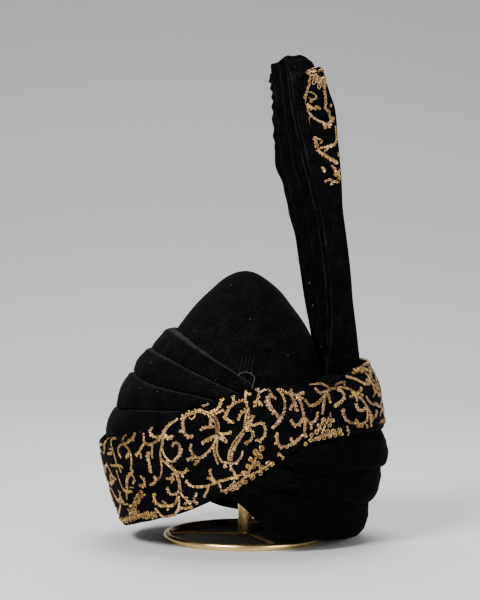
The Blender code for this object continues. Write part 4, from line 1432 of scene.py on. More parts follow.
    def petal(self, petal: Petal) -> None:
        """Works a teardrop outline with a stitch along its middle.

        Args:
            petal: the petal.
        """
        stalk, tip = np.array(petal.stalk, float), np.array(petal.tip, float)
        run = tip - stalk
        across = np.array((-run[1], run[0])) / np.linalg.norm(run)
        turn = np.linspace(0, TURN, self.petal_points)
        share = (1 - np.cos(turn)) / 2
        aside = np.sin(turn) * np.sqrt(share) * petal.width / 2
        chart = stalk + np.outer(share, run) + np.outer(aside, across)
        tone = self.draw.uniform(0, 1)
        lift = np.full(self.petal_points, self.lobe_thread * self.petal_lift)
        self.lay(chart, lift, tone, self.lobe_thread)
        first, last = self.petal_stitch
        self.lay_stitch(stalk + run * first, stalk + run * last, tone)

    def lay_stitch(self, first: np.ndarray, last: np.ndarray, tone: float) -> None:
        """One short stitch that arches over the cloth between two chart points.

        Args:
            first: where it comes up.
            last: where it goes down.
            tone: the thread's shade.
        """
        start, end = self.find(*first), self.find(*last)
        if start is None or end is None:
            return
        run = np.array(end[0] - start[0])
        length = float(np.linalg.norm(run))
        if length < self.shortest_stitch:
            return
        run /= length
        normal = np.array((start[1] + end[1]).normalized())
        side = np.cross(run, normal)
        side /= np.linalg.norm(side)
        up = np.cross(side, run)
        shares, lifts, radii = np.array(self.stitch_rings).T
        points = np.array(start[0]) + run * (length * shares)[:, None] + up * (lifts * self.stitch)[:, None]
        sides, ups = (np.tile(way, (len(shares), 1)) for way in (side, up))
        self.tube(points, sides, ups, radii * self.stitch, shares * length, self.shade_near(tone))

    def work(self, lines: Sequence[Stroke], patches: Sequence[BerryField], berries: Sequence[Berry]) -> None:
        """Works a chart.

        Args:
            lines: its stems and leaves.
            patches: its fields of berries.
            berries: its single berries.
        """
        for stroke in lines:
            self.stroke(stroke)
        for patch in patches:
            self.berries(patch)
        for across, height, size in berries:
            self.berry(np.array((across, height), float), size, self.shade_at(across))

    def berries(self, patch: BerryField) -> None:
        """Fills a field with berries on a stem.

        Args:
            patch: the field.
        """
        first, last = np.array(patch.first, float), np.array(patch.last, float)
        length = float(np.linalg.norm(last - first))
        run = (last - first) / length
        across = np.array((-run[1], run[0]))
        tone = self.shade_at(patch.first[0])
        self.pair(spline(np.array((first, (first + last) / 2, last)), self.step), self.vein_width, tone)
        columns = max(2, round(length / self.berry_spacing))
        for k in range(columns + 1):
            share = k / columns
            width = patch.start + (patch.end - patch.start) * share
            rows = max(1, round(width / self.berry_spacing))
            for j in range(rows):
                offset = (j - (rows - 1) / 2) * self.berry_spacing * self.berry_row_share
                if rows == 1:
                    offset = (-1) ** k * self.berry_zigzag
                jitter = self.draw.normal(0, self.berry_scatter, 2)
                spot = first + run * length * share + across * offset + jitter
                self.berry(spot, self.draw.uniform(*self.berry_sizes), self.shade_near(tone))

    def berry(self, at: np.ndarray, size: float, tone: float) -> None:
        """One small ring of thread on the cloth, with a dark heart if it is large, and some with a stitch.

        Args:
            at: its chart point.
            size: its size as a share of the usual one.
            tone: the thread's shade.
        """
        hit = self.find(*at)
        if hit is None:
            return
        spot, normal = hit
        normal = (normal + Vector(self.draw.normal(0, self.berry_tilt, 3))).normalized()
        side = normal.orthogonal().normalized()
        other = normal.cross(side)
        turns = TURN * np.arange(self.berry_rings) / self.berry_rings
        out = np.outer(np.cos(turns), side) + np.outer(np.sin(turns), other)
        up = np.tile(np.array(normal), (self.berry_rings, 1))
        radius = self.berry_radius * size
        squash = 1 + self.berry_squash * np.sin(2 * turns + self.draw.uniform(0, TURN))
        rise = self.berry_wire * self.draw.uniform(*self.berry_lifts)
        points = np.array(spot) + out * (radius * squash)[:, None] + np.array(normal) * rise
        growth = 1 - self.berry_wire_growth + self.berry_wire_growth * size
        wire = np.full(self.berry_rings, self.berry_wire * growth)
        shade_of = self.shade_near(tone)
        self.tube(points, out, up, wire, turns * radius, shade_of, closed=True)
        if size >= self.heart_from:
            heart = np.array(spot) + out * radius * self.heart_share
            thin = np.full(self.berry_rings, self.heart_wire)
            self.tube(heart, out, up, thin, turns * radius, 0.0, closed=True)
        elif size <= self.knot_size or self.draw.uniform() < self.filled_share:
            half = np.array((radius / MM * self.berry_stitch, 0.0))
            self.lay_stitch(at - half, at + half, shade_of)

    def finish(self, name: str, gold: bpy.types.Material) -> None:
        """Makes the worked piece and dresses it.

        Args:
            name: its name.
            gold: its material.
        """
        vine = self.draft.build(name)
        select_only(vine)
        bpy.ops.object.mode_set(mode="EDIT")
        bpy.ops.mesh.select_all(action="SELECT")
        bpy.ops.mesh.normals_make_consistent(inside=False)
        bpy.ops.object.mode_set(mode="OBJECT")
        shade(vine)
        dress(vine, gold, Slot.EMBROIDERY)


class FullEdge(NamedTuple):
    """An edge that stands out at the cap's back: the wrap it shapes, which edge of it, and how far."""

    piece: str
    top: bool
    reach: float


@dataclass
class Cap:
    """The velvet cap: crown, stepped folds, wound base, wraps and the embroidered band."""

    velvet: bpy.types.Material
    crown_velvet: bpy.types.Material
    shaded_wrap_velvet: bpy.types.Material
    gold: bpy.types.Material
    fold_names: tuple[str, ...] = ("upper_fold_1", "upper_fold_2", "upper_fold_3", "upper_fold_4")
    wrap_names: tuple[str, ...] = ("lower_wrap_a", "lower_wrap_b", "lower_wrap_c")
    fold_fill: float = 0.45
    crown_ripples: tuple[Ripple, ...] = (Ripple(50.0 * MM, 0.35 * MM, 11), Ripple(16.0 * MM, 0.12 * MM, 12))
    fold_ripples: tuple[Ripple, ...] = (Ripple(24.0 * MM, 0.30 * MM, 21), Ripple(9.0 * MM, 0.10 * MM, 22))
    base_ripple: Ripple = Ripple(30.0 * MM, 0.35 * MM, 31)
    wrap_ripple: Ripple = Ripple(26.0 * MM, 0.3 * MM, 42)
    band_ripple: Ripple = Ripple(30.0 * MM, 0.25 * MM, 51)
    roll_height: float = 1.8 * MM
    roll_proud: float = 0.45 * MM
    groove_below: float = 3.6 * MM
    groove_depth: float = 0.25 * MM
    crest_width: float = 0.60 * MM
    crest_breaks: Ripple = Ripple(12.0 * MM, 0.2, 23)
    creases: Ripple = Ripple(50.0 * MM, 1.0, 41)
    crease_height: float = 0.4 * MM
    crease_wear_and_sheen: float = 0.07
    pale_creases: Span = (0.8, 1.8)
    fine_creases: Ripple = Ripple(26.0 * MM, 1.0, 43)
    fine_height: float = 0.12 * MM
    fine_wear_and_sheen: float = 0.10
    pale_fine: Span = (1.1, 1.9)
    crease_flatness: float = 5.0
    edge_wear_and_sheen: float = 0.30
    full_edges: tuple[FullEdge, ...] = (
        FullEdge("lower_wrap_a", False, 3.6 * MM),
        FullEdge("lower_wrap_b", True, 3.2 * MM),
    )
    full_edge_height: float = 9.0 * MM
    full_edge_azimuths: Span = (105.0, 160.0)
    band_back: float = 2.6 * MM
    band_back_azimuths: Span = (110.0, 165.0)
    band_back_below: Span = (2.0 * MM, 22.0 * MM)
    ray_start: float = 0.25
    over_edge: float = 4.0 * MM
    golden_until: float = 56.0
    front_seed: int = 7
    back_seed: int = 8
    chart_middle: float = 172.5
    chart_angles: tuple[float, ...] = (0, 30, 60, 90, 105, 120, 135, 150, 180)
    chart_girth: tuple[float, ...] = (0, 61, 119, 172.5, 199, 226, 253.5, 282, 342.4)

    def build(self) -> None:
        """Makes every piece of the cap."""
        self.make_crown()
        for name in self.fold_names:
            self.make_fold(name)
        self.make_base()
        for name in self.wrap_names:
            self.make_wrap(name)
        self.make_band()

    def make_crown(self) -> None:
        """The tall cone, with slight unevenness of the stiffened velvet."""
        crown = copy_solid("crown", "crown_velvet")
        subdivide(crown, 2)
        points = points_of(crown)
        push(crown, sum(ripple.over(points) for ripple in self.crown_ripples))
        shade(crown)
        dress(crown, self.crown_velvet, Slot.VELVET, "crown")

    def make_fold(self, name: str) -> None:
        """A folded layer above the band, with a narrow roll along its upper edge and a groove below it.

        Args:
            name: the solid's name.
        """
        fold = copy_solid(name, f"{name}_velvet")
        subdivide(fold, 3)
        points = points_of(fold)
        top = EdgeLine(points, top=True)
        below = top.at(azimuths_of(points)) - points[:, 2]
        roll = np.exp(-(((below - self.roll_height) / self.roll_height) ** 2))
        groove = np.exp(-(((below - self.groove_below) / self.roll_height) ** 2))
        uneven = sum(ripple.over(points) for ripple in self.fold_ripples)
        push(fold, roll * self.roll_proud - groove * self.groove_depth + uneven)
        # Painted highlight along the upper edge, partly rubbed pile, broken into patches
        breaks = 1 - self.crest_breaks.reach + self.crest_breaks.over(points)
        store(fold, "crest", np.exp(-((below / self.crest_width) ** 2)) * breaks)
        shade(fold)
        dress(fold, self.velvet, Slot.VELVET, name)

    def make_base(self) -> None:
        """The wound body under the band."""
        base = copy_solid("wound_base", "wound_base_velvet")
        subdivide(base, 2)
        points = points_of(base)
        push(base, self.base_ripple.over(points))
        shade(base)
        dress(base, self.shaded_wrap_velvet, Slot.VELVET, "wound_base")

    def make_wrap(self, name: str) -> None:
        """A wound layer below the band, with soft creases that run round the cap.

        Args:
            name: the solid's name.
        """
        wrap = copy_solid(name, f"{name}_velvet")
        subdivide(wrap, 3)
        points = points_of(wrap)
        above = points[:, 2] - EdgeLine(points, top=False).at(azimuths_of(points))
        long_way = points * np.array((1.0, 1.0, self.crease_flatness))
        creases = self.creases.over(long_way)
        fine = self.fine_creases.over(long_way)
        uneven = self.wrap_ripple.over(points) + fine * self.fine_height
        push(wrap, creases * self.crease_height + uneven + self.fuller(name, points))
        # Paler lower edge and crease ridges: partly worn pile, partly painted highlight
        edge = np.exp(-((above / self.crest_width) ** 2))
        wear_and_sheen_share = self.edge_wear_and_sheen * edge + self.crease_wear_and_sheen * ease(creases, *self.pale_creases)
        store(wrap, "crest", wear_and_sheen_share + self.fine_wear_and_sheen * ease(fine, *self.pale_fine))
        shade(wrap)
        dress(wrap, self.shaded_wrap_velvet, Slot.VELVET, name)

    def fuller(self, name: str, points: np.ndarray) -> np.ndarray:
        """How far a wrap's edge stands out at the back, where two wraps meet almost flush.

        Args:
            name: the solid's name.
            points: the wrap's points.

        Returns:
            One distance for each point.
        """
        azimuths = azimuths_of(points)
        back = ease(np.abs(azimuths), *self.full_edge_azimuths)
        distances = np.zeros(len(points))
        for edge in self.full_edges:
            if edge.piece == name:
                gap = points[:, 2] - EdgeLine(points, edge.top).at(azimuths)
                distances += edge.reach * np.exp(-((gap / self.full_edge_height) ** 2)) * back
        return distances

    def make_band(self) -> None:
        """The tilted band, fuller at its back, and the gold vine laid on it."""
        ground = copy_solid("band", "band_velvet")
        subdivide(ground, 3)
        points = points_of(ground)
        back = ease(np.abs(azimuths_of(points)), *self.band_back_azimuths)
        below = EdgeLine(points, top=True).at(azimuths_of(points)) - points[:, 2]
        back *= ease(below, *self.band_back_below)
        push(ground, self.band_ripple.over(points) + self.band_back * back)
        shade(ground)
        dress(ground, self.velvet, Slot.EMBROIDERY, "band")
        tree = tree_of(ground)
        for side, name in ((1, "near"), (-1, "far")):
            self.embroider(tree, side, name)

    def embroider(self, tree: BVHTree, side: int, name: str) -> None:
        """Lays the vine on one side of the band, in a front and a back piece.

        Args:
            tree: the band's faces.
            side: 1 for the near side, -1 for the mirrored far side.
            name: the side's name.
        """

        def find(u: float, z: float) -> Hit:
            """Casts a ray at the cap's axis, or down onto the rolled top where the chart runs over it.

            Args:
                u: the chart's place round the band, in millimetres from the front.
                z: the height, in millimetres.

            Returns:
                The place on the cloth and its normal, or None off the band.
            """
            azimuth = side * float(np.interp(u, self.chart_girth, self.chart_angles))
            inward, downward = on_ray(azimuth, -1.0, 0.0), on_ray(azimuth, -1.0, -1.0)
            spot, normal, _, _ = tree.ray_cast(on_ray(azimuth, self.ray_start, z * MM), inward)
            if spot is None:
                lower = z * MM - self.over_edge
                wall, _, _, _ = tree.ray_cast(on_ray(azimuth, self.ray_start, lower), inward)
                if wall is None:
                    return None
                radius = math.hypot(wall.x, wall.y) + self.over_edge
                start = on_ray(azimuth, radius, z * MM + self.over_edge)
                spot, normal, _, _ = tree.ray_cast(start, downward, 3 * self.over_edge)
            return None if spot is None else (spot, normal)

        for part in ("front", "back"):
            front = part == "front"
            seed = self.front_seed if front else self.back_seed
            couching = Couching(find, seed=seed, golden_until=self.golden_until)
            couching.work(
                [stroke for stroke in BAND_STROKES if (stroke.knots[0][0] < self.chart_middle) == front],
                [patch for patch in BAND_FIELDS if (patch.first[0] < self.chart_middle) == front],
                [berry for berry in BAND_BERRIES if (berry.across < self.chart_middle) == front],
            )
            couching.finish(f"band_vine_{name}_{part}", self.gold)


class Outline(NamedTuple):
    """How far the plume's front and back outline stand out at one height, in millimetres."""

    height: float
    front: float
    back: float


class FanRow(NamedTuple):
    """The plume at one height, in millimetres; the turn is in degrees."""

    height: float
    width: float
    turn: float
    front: float
    depth: float


class Drop(NamedTuple):
    """How far the top edge is lowered at a place from front to back, in millimetres."""

    place: float
    amount: float


class Swing(NamedTuple):
    """One part of a wave's wandering, in radians: how much, and the length that it changes over."""

    amount: float
    length: float

    def at(self, places: np.ndarray) -> np.ndarray:
        """The shift at each place."""
        return self.amount * np.sin(places / self.length)


@dataclass
class Plume:
    """The pleated cloth that stands up behind the crown, with its embroidered end strip.

    A fold number counts the folds from 0 at the near edge to 14 at the far one, odd ones at the front.
    """

    cloth: bpy.types.Material
    velvet: bpy.types.Material
    gold: bpy.types.Material
    rows: tuple[FanRow, ...] = (
        FanRow(141.4, 26.0, 11.7, 69.0, 27.0),
        FanRow(169.0, 38.0, 21.0, 66.5, 22.5),
        FanRow(208.0, 57.0, 22.9, 62.5, 17.0),
        FanRow(260.0, 82.0, 17.9, 56.0, 17.2),
        FanRow(280.0, 91.0, 18.0, 52.0, 17.2),
        FanRow(306.0, 103.0, 14.4, 47.5, 20.2),
        FanRow(322.0, 110.0, 14.8, 41.0, 24.3),
        FanRow(340.0, 119.0, 12.3, 38.0, 27.7),
        FanRow(372.0, 133.0, 8.1, 31.8, 33.6),
        FanRow(390.0, 141.0, 6.8, 30.0, 30.8),
        FanRow(409.0, 150.0, 5.8, 28.8, 25.0),
    )
    pleats: int = 7
    mean_depth: float = 24.0 * MM
    columns_per_fold: int = 14
    levels: int = 220
    sill_levels: int = 60
    wall: float = 1.2 * MM
    softening: int = 9
    fold_softness: float = 0.10
    crowning: float = 9.0 * MM
    back_crowning: float = 3.0 * MM
    recessed_folds: tuple[int, ...] = (5, 9)
    recess: float = 5.0 * MM
    recess_shares: Span = (0.1, 0.4)
    ruffled_folds: tuple[int, ...] = (11, 13)
    ruffle_from: Span = (330.0 * MM, 350.0 * MM)
    ruffle_period: float = 10.6 * MM
    ruffle: float = 0.6 * MM
    ruffle_elsewhere: float = 0.2
    ruffle_across: Swing = Swing(1.3, 0.5)
    ruffle_upwards: tuple[Swing, ...] = (Swing(1.6, 13.0 * MM), Swing(0.9, 7.5 * MM))
    flutter: float = 0.5 * MM
    flutter_period: float = 41.0 * MM
    flutter_lag: float = 2.1
    ribs_per_pleat: float = 11.0
    roll_height: float = 10.0 * MM
    roll_proud: float = 1.8 * MM
    roll_change: Swing = Swing(0.4, 1.0 / 5.3)
    tuck_fold: float = 0.22
    tuck_width: float = 0.07
    tuck: float = 0.9 * MM
    tuck_until: Span = (260.0 * MM, 320.0 * MM)
    flare: float = 3.0 * MM
    flare_from: float = 384.0 * MM
    flare_side: Span = (20.0 * MM, 70.0 * MM)
    flare_back: Span = (38.0 * MM, 62.0 * MM)
    outlines: tuple[Outline, ...] = (
        Outline(141.4, 3.4, 2.0),
        Outline(160.0, 4.0, 3.2),
        Outline(172.0, 2.8, 3.4),
        Outline(186.0, 2.2, 3.6),
        Outline(225.0, 1.7, 3.0),
        Outline(250.0, 1.7, 2.0),
        Outline(288.0, 2.0, 0.9),
        Outline(300.0, 4.2, 1.6),
        Outline(315.0, 4.2, 2.2),
        Outline(330.0, 2.4, 1.6),
        Outline(350.0, 2.4, 0.6),
        Outline(385.0, 0.6, 1.0),
        Outline(409.0, 1.4, 1.0),
    )
    lowered_from: float = 364.0 * MM
    cloth_top: tuple[Drop, ...] = (
        Drop(18.0, 12.0),
        Drop(21.0, 9.6),
        Drop(25.0, 4.9),
        Drop(35.0, 0.3),
        Drop(46.0, -1.4),
        Drop(52.5, -1.4),
        Drop(57.0, 6.5),
        Drop(62.0, 7.5),
    )
    strip_top: tuple[Drop, ...] = (
        Drop(35.0, 9.0),
        Drop(49.0, 5.5),
        Drop(62.7, 0.0),
        Drop(67.2, 4.6),
        Drop(71.0, 7.0),
    )
    soft_top: float = 1.3 * MM
    soft_length: float = 14.0 * MM
    soft_seed: int = 64
    fold_line: Span = (0.92, 1.0)
    worn_and_lit_folds: tuple[int, ...] = (1, 3)
    least_worn_and_lit: float = 0.35
    wear_and_sheen_breaks: Ripple = Ripple(22.0 * MM, 0.45, 61)
    cloth_sheen: float = 0.5
    strip_sheen: float = 0.6
    sheen_middle: tuple[float, float] = (42.0 * MM, 398.0 * MM)
    sheen_reach: tuple[float, float] = (5.0 * MM, 4.0 * MM)
    sheen_spots: Ripple = Ripple(6.0 * MM, 1.0, 62)
    sheen_spot_heights: Span = (-0.2, 0.9)
    sheen_side: Span = (20.0 * MM, 50.0 * MM)
    strip_lumps: Ripple = Ripple(9.0 * MM, 1.9 * MM, 63)
    strip_rolled: Span = (378.0 * MM, 396.0 * MM)
    strip_front: Span = (52.0 * MM, 44.0 * MM)
    strip_room: float = 2.6 * MM
    strip_room_folds: Span = (1.6, 1.0)
    strip_room_heights: Span = (370.0 * MM, 390.0 * MM)
    strip_seed: int = 9
    strip_golden_until: float = -60.0
    ray_start: float = 0.08

    def __post_init__(self) -> None:
        """Reads the foot, the top, and the front and back outline of the unshifted cloth."""
        self.foot = self.rows[0].height * MM
        self.top = self.rows[-1].height * MM
        self.folds = 2 * self.pleats
        self.sill = np.linspace(self.rows[0].height, self.rows[-1].height, self.sill_levels) * MM
        fold = np.linspace(0, self.folds, self.folds * 4 + 1)
        spans = [self.folded(fold, np.full(len(fold), height))[:, 0] for height in self.sill]
        self.front_line = np.array([span.min() for span in spans])
        self.back_line = np.array([span.max() for span in spans])

    def build(self) -> None:
        """Makes the cloth and the strip."""
        self.make_cloth()
        self.make_strip()

    def row_at(self, heights: np.ndarray, column: str) -> np.ndarray:
        """Reads a column of the table at some heights, on a smooth curve.

        Args:
            heights: heights in metres.
            column: the column's name.

        Returns:
            The column's values, in its own unit.
        """
        keys = np.array([row.height for row in self.rows])
        values = np.array([getattr(row, column) for row in self.rows])
        slopes = np.zeros(len(keys))
        slopes[1:-1] = (values[2:] - values[:-2]) / (keys[2:] - keys[:-2])
        at = np.clip(np.asarray(heights) / MM, keys[0], keys[-1])
        i = np.clip(np.searchsorted(keys, at, side="right") - 1, 0, len(keys) - 2)
        span = keys[i + 1] - keys[i]
        t = (at - keys[i]) / span
        rise = values[i + 1] - values[i]
        start, end = slopes[i] * span, slopes[i + 1] * span
        square, cube = 3 * rise - 2 * start - end, start + end - 2 * rise
        return values[i] + t * start + t * t * square + t**3 * cube

    def near_fold(self, fold: np.ndarray, numbers: Sequence[int]) -> np.ndarray:
        """1 on the numbered folds, falling to 0 at the folds beside them."""
        return sum(np.clip(1 - np.abs(fold - number), 0, 1) for number in numbers)

    def frontness_of(self, fold: np.ndarray) -> np.ndarray:
        """How near each place is to the front of its pleat, with the folds rounded.

        Args:
            fold: the places across the pleats.

        Returns:
            About 1 at a front fold, about 0 at a back one.
        """
        offsets = np.linspace(-1, 1, self.softening) * self.fold_softness
        near = np.clip(fold + offsets[:, None], 0, self.folds)
        return (1 - np.abs((near % 2) - 1)).mean(axis=0)

    def ruffled(self, fold: np.ndarray, height: np.ndarray, frontness: np.ndarray) -> np.ndarray:
        """How far the cloth stands out in small uneven ruffles, most on the ruffled folds.

        Args:
            fold: the places across the pleats.
            height: their levels.
            frontness: how near each is to a front fold.

        Returns:
            One distance for each place.
        """
        wander = self.ruffle_across.at(fold) + sum(swing.at(height) for swing in self.ruffle_upwards)
        wave = np.sin(TURN * height / self.ruffle_period + wander)
        share = self.near_fold(fold, self.ruffled_folds) + self.ruffle_elsewhere * frontness
        return self.ruffle * wave * share * ease(height, *self.ruffle_from)

    def rolled(self, fold: np.ndarray, height: np.ndarray, frontness: np.ndarray) -> np.ndarray:
        """How far the turned-over top stands out."""
        roll = np.sin(math.pi * np.clip((height - self.top + self.roll_height) / self.roll_height, 0, 1))
        return self.roll_proud * roll * frontness * (1 - self.roll_change.amount + self.roll_change.at(fold))

    def folded(self, fold: np.ndarray, height: np.ndarray) -> np.ndarray:
        """Points of the pleated cloth.

        Args:
            fold: the places across the pleats.
            height: their levels before the top's arc is added, in metres.

        Returns:
            Rows of x, y, z.
        """
        frontness = self.frontness_of(fold)
        turn = np.radians(self.row_at(height, "turn"))
        share = (height - self.foot) / (self.top - self.foot)
        deep = self.row_at(height, "depth") * MM * (1 - frontness)
        deep += self.recess * self.near_fold(fold, self.recessed_folds) * ease(share, *self.recess_shares)
        deep -= self.ruffled(fold, height, frontness) + self.rolled(fold, height, frontness)
        across = self.row_at(height, "width") * MM * (fold / self.folds - 0.5)
        flutter = np.sin(TURN * height / self.flutter_period + fold * self.flutter_lag)
        tuck = self.tuck * np.exp(-(((fold - self.tuck_fold) / self.tuck_width) ** 2))
        aside = across + self.flutter * flutter * share - tuck * (1 - ease(height, *self.tuck_until))
        arc = 1 - (fold / self.pleats - 1) ** 2
        rise = (self.back_crowning + (self.crowning - self.back_crowning) * frontness) * share**2 * arc
        x = self.row_at(height, "front") * MM - np.sin(turn) * aside + np.cos(turn) * deep
        return np.column_stack((x, np.cos(turn) * aside + np.sin(turn) * deep, height + rise))

    def flared(self, points: np.ndarray) -> np.ndarray:
        """Shifts the plume's outlines, and lets the near back corner of the top stand out like the strip.

        Args:
            points: points of the cloth or the strip.

        Returns:
            The moved points.
        """
        height = points[:, 2]
        front, back = (np.interp(height, self.sill, edge) for edge in (self.front_line, self.back_line))
        share = np.clip((points[:, 0] - front) / (back - front), 0, 1)
        table = np.array(self.outlines) * MM
        ahead, behind = (np.interp(height, table[:, 0], table[:, column]) for column in (1, 2))
        near = ease(-points[:, 1], *self.flare_side) * ease(points[:, 0], *self.flare_back)
        corner = self.flare * ease(height, self.flare_from, self.top) * near
        moved = points.copy()
        moved[:, 0] += behind * share - ahead * (1 - share) + corner
        return moved

    def lowered(self, points: np.ndarray, table: Sequence[Drop]) -> np.ndarray:
        """Shapes the top edge.

        Args:
            points: points of the cloth or the strip.
            table: how far the top is lowered at each place.

        Returns:
            The moved points.
        """
        drop = np.interp(points[:, 0] / MM, *np.array(table).T) * MM
        moved = points.copy()
        moved[:, 2] -= drop * ease(points[:, 2], self.lowered_from, self.top)
        return moved

    def softened(self, points: np.ndarray, fold: np.ndarray) -> np.ndarray:
        """Lets the cloth give way under the strip's top, and softens the top edge.

        Args:
            points: the cloth's points.
            fold: their places across the pleats.

        Returns:
            The moved points.
        """
        moved = points.copy()
        under = ease(fold, *self.strip_room_folds) * ease(points[:, 2], *self.strip_room_heights)
        moved[:, 1] += self.strip_room * under
        softness = self.soft_top * ease(moved[:, 2], self.flare_from, self.top)
        for axis in range(3):
            moved[:, axis] += softness * waves(moved, self.soft_length, self.soft_seed + axis)
        return moved

    def wear_and_sheen_share(self, points: np.ndarray, fold: np.ndarray) -> np.ndarray:
        """Painted highlight and wear along the front folds, and the painted sheen at the top.

        Args:
            points: the cloth's points.
            fold: their places across the pleats.

        Returns:
            One share for each point.
        """
        line_share = ease(1 - np.abs((fold % 2) - 1), *self.fold_line)
        most = self.least_worn_and_lit + (1 - self.least_worn_and_lit) * self.near_fold(fold, self.worn_and_lit_folds)
        breaks = 1 - self.wear_and_sheen_breaks.reach + self.wear_and_sheen_breaks.over(points)
        return line_share * most * breaks + self.cloth_sheen * self.sheen_patch(points)

    def sheen_patch(self, points: np.ndarray) -> np.ndarray:
        """A painted sheen patch on the rolled top, at the front of the strip.

        Args:
            points: points of the cloth or the strip.

        Returns:
            One share for each point.
        """
        across = (points[:, 0] - self.sheen_middle[0]) / self.sheen_reach[0]
        up = (points[:, 2] - self.sheen_middle[1]) / self.sheen_reach[1]
        spotty = ease(self.sheen_spots.over(points), *self.sheen_spot_heights)
        return np.exp(-(across**2) - up**2) * spotty * ease(-points[:, 1], *self.sheen_side)

    def make_cloth(self) -> None:
        """The pleated cloth, one continuous sheet with rounded folds."""
        columns = self.folds * self.columns_per_fold + 1
        across = np.linspace(0, self.folds, columns)
        upwards = np.linspace(self.rows[0].height, self.rows[-1].height, self.levels) * MM
        fold, height = (grid.ravel() for grid in np.meshgrid(across, upwards))
        points = self.lowered(self.flared(self.folded(fold, height)), self.cloth_top)
        points = self.softened(points, fold)
        draft = MeshDraft()
        faces = grid_faces(self.levels, columns)
        # Painted highlight and wear along the front folds, and painted sheen on the rolled top
        draft.add(points, faces, crest=self.wear_and_sheen_share(points, fold), rib=fold * self.ribs_per_pleat)
        cloth = draft.build("turra_cloth")
        apply_modifier(cloth, "SOLIDIFY", thickness=self.wall, offset=0.0)
        shade(cloth)
        dress(cloth, self.cloth, Slot.VELVET, "turra_fan")
        flat_width = float(self.folds * self.mean_depth)

    def make_strip(self) -> None:
        """The embroidered strip on the nearest pleat, lumpy where it is rolled over at its top."""
        strip = copy_solid("turra_panel", "turra_strip_velvet")
        subdivide(strip, 3)
        points = points_of(strip)
        rolled = ease(points[:, 2], *self.strip_rolled) * ease(points[:, 0], *self.strip_front)
        push(strip, self.strip_lumps.over(points) * rolled)
        set_points(strip, self.lowered(self.flared(points_of(strip)), self.strip_top))
        # Painted sheen patch on the strip's rolled top
        store(strip, "crest", self.strip_sheen * self.sheen_patch(points))
        shade(strip)
        dress(strip, self.velvet, Slot.EMBROIDERY, "turra_panel")
        self.embroider(tree_of(strip))

    def embroider(self, tree: BVHTree) -> None:
        """Lays the vine on the strip.

        Args:
            tree: the strip's faces.
        """

        def find(across: float, z: float) -> Hit:
            """Casts a ray square to the pleat that carries the strip.

            Args:
                across: the chart's place from the strip's back edge, in millimetres.
                z: the height, in millimetres.

            Returns:
                The place on the cloth and its normal, or None off the strip.
            """
            ends = self.flared(self.folded(np.array([0.0, 1.0]), np.full(2, z * MM)))
            back, front = (Vector(end) for end in ends)
            run = (front - back).normalized()
            run.z = 0
            out = Vector((run.y, -run.x, 0)).normalized()
            if out.y > 0:
                out = -out
            middle = back + run * across * MM
            middle.z = z * MM
            spot, normal, _, _ = tree.ray_cast(middle + out * self.ray_start, -out)
            return None if spot is None else (spot, normal)

        couching = Couching(find, seed=self.strip_seed, golden_until=self.strip_golden_until)
        for petal in STRIP_PETALS:
            couching.petal(petal)
        couching.work(STRIP_STROKES, (), STRIP_BERRIES)
        couching.finish("turra_strip_vine", self.gold)


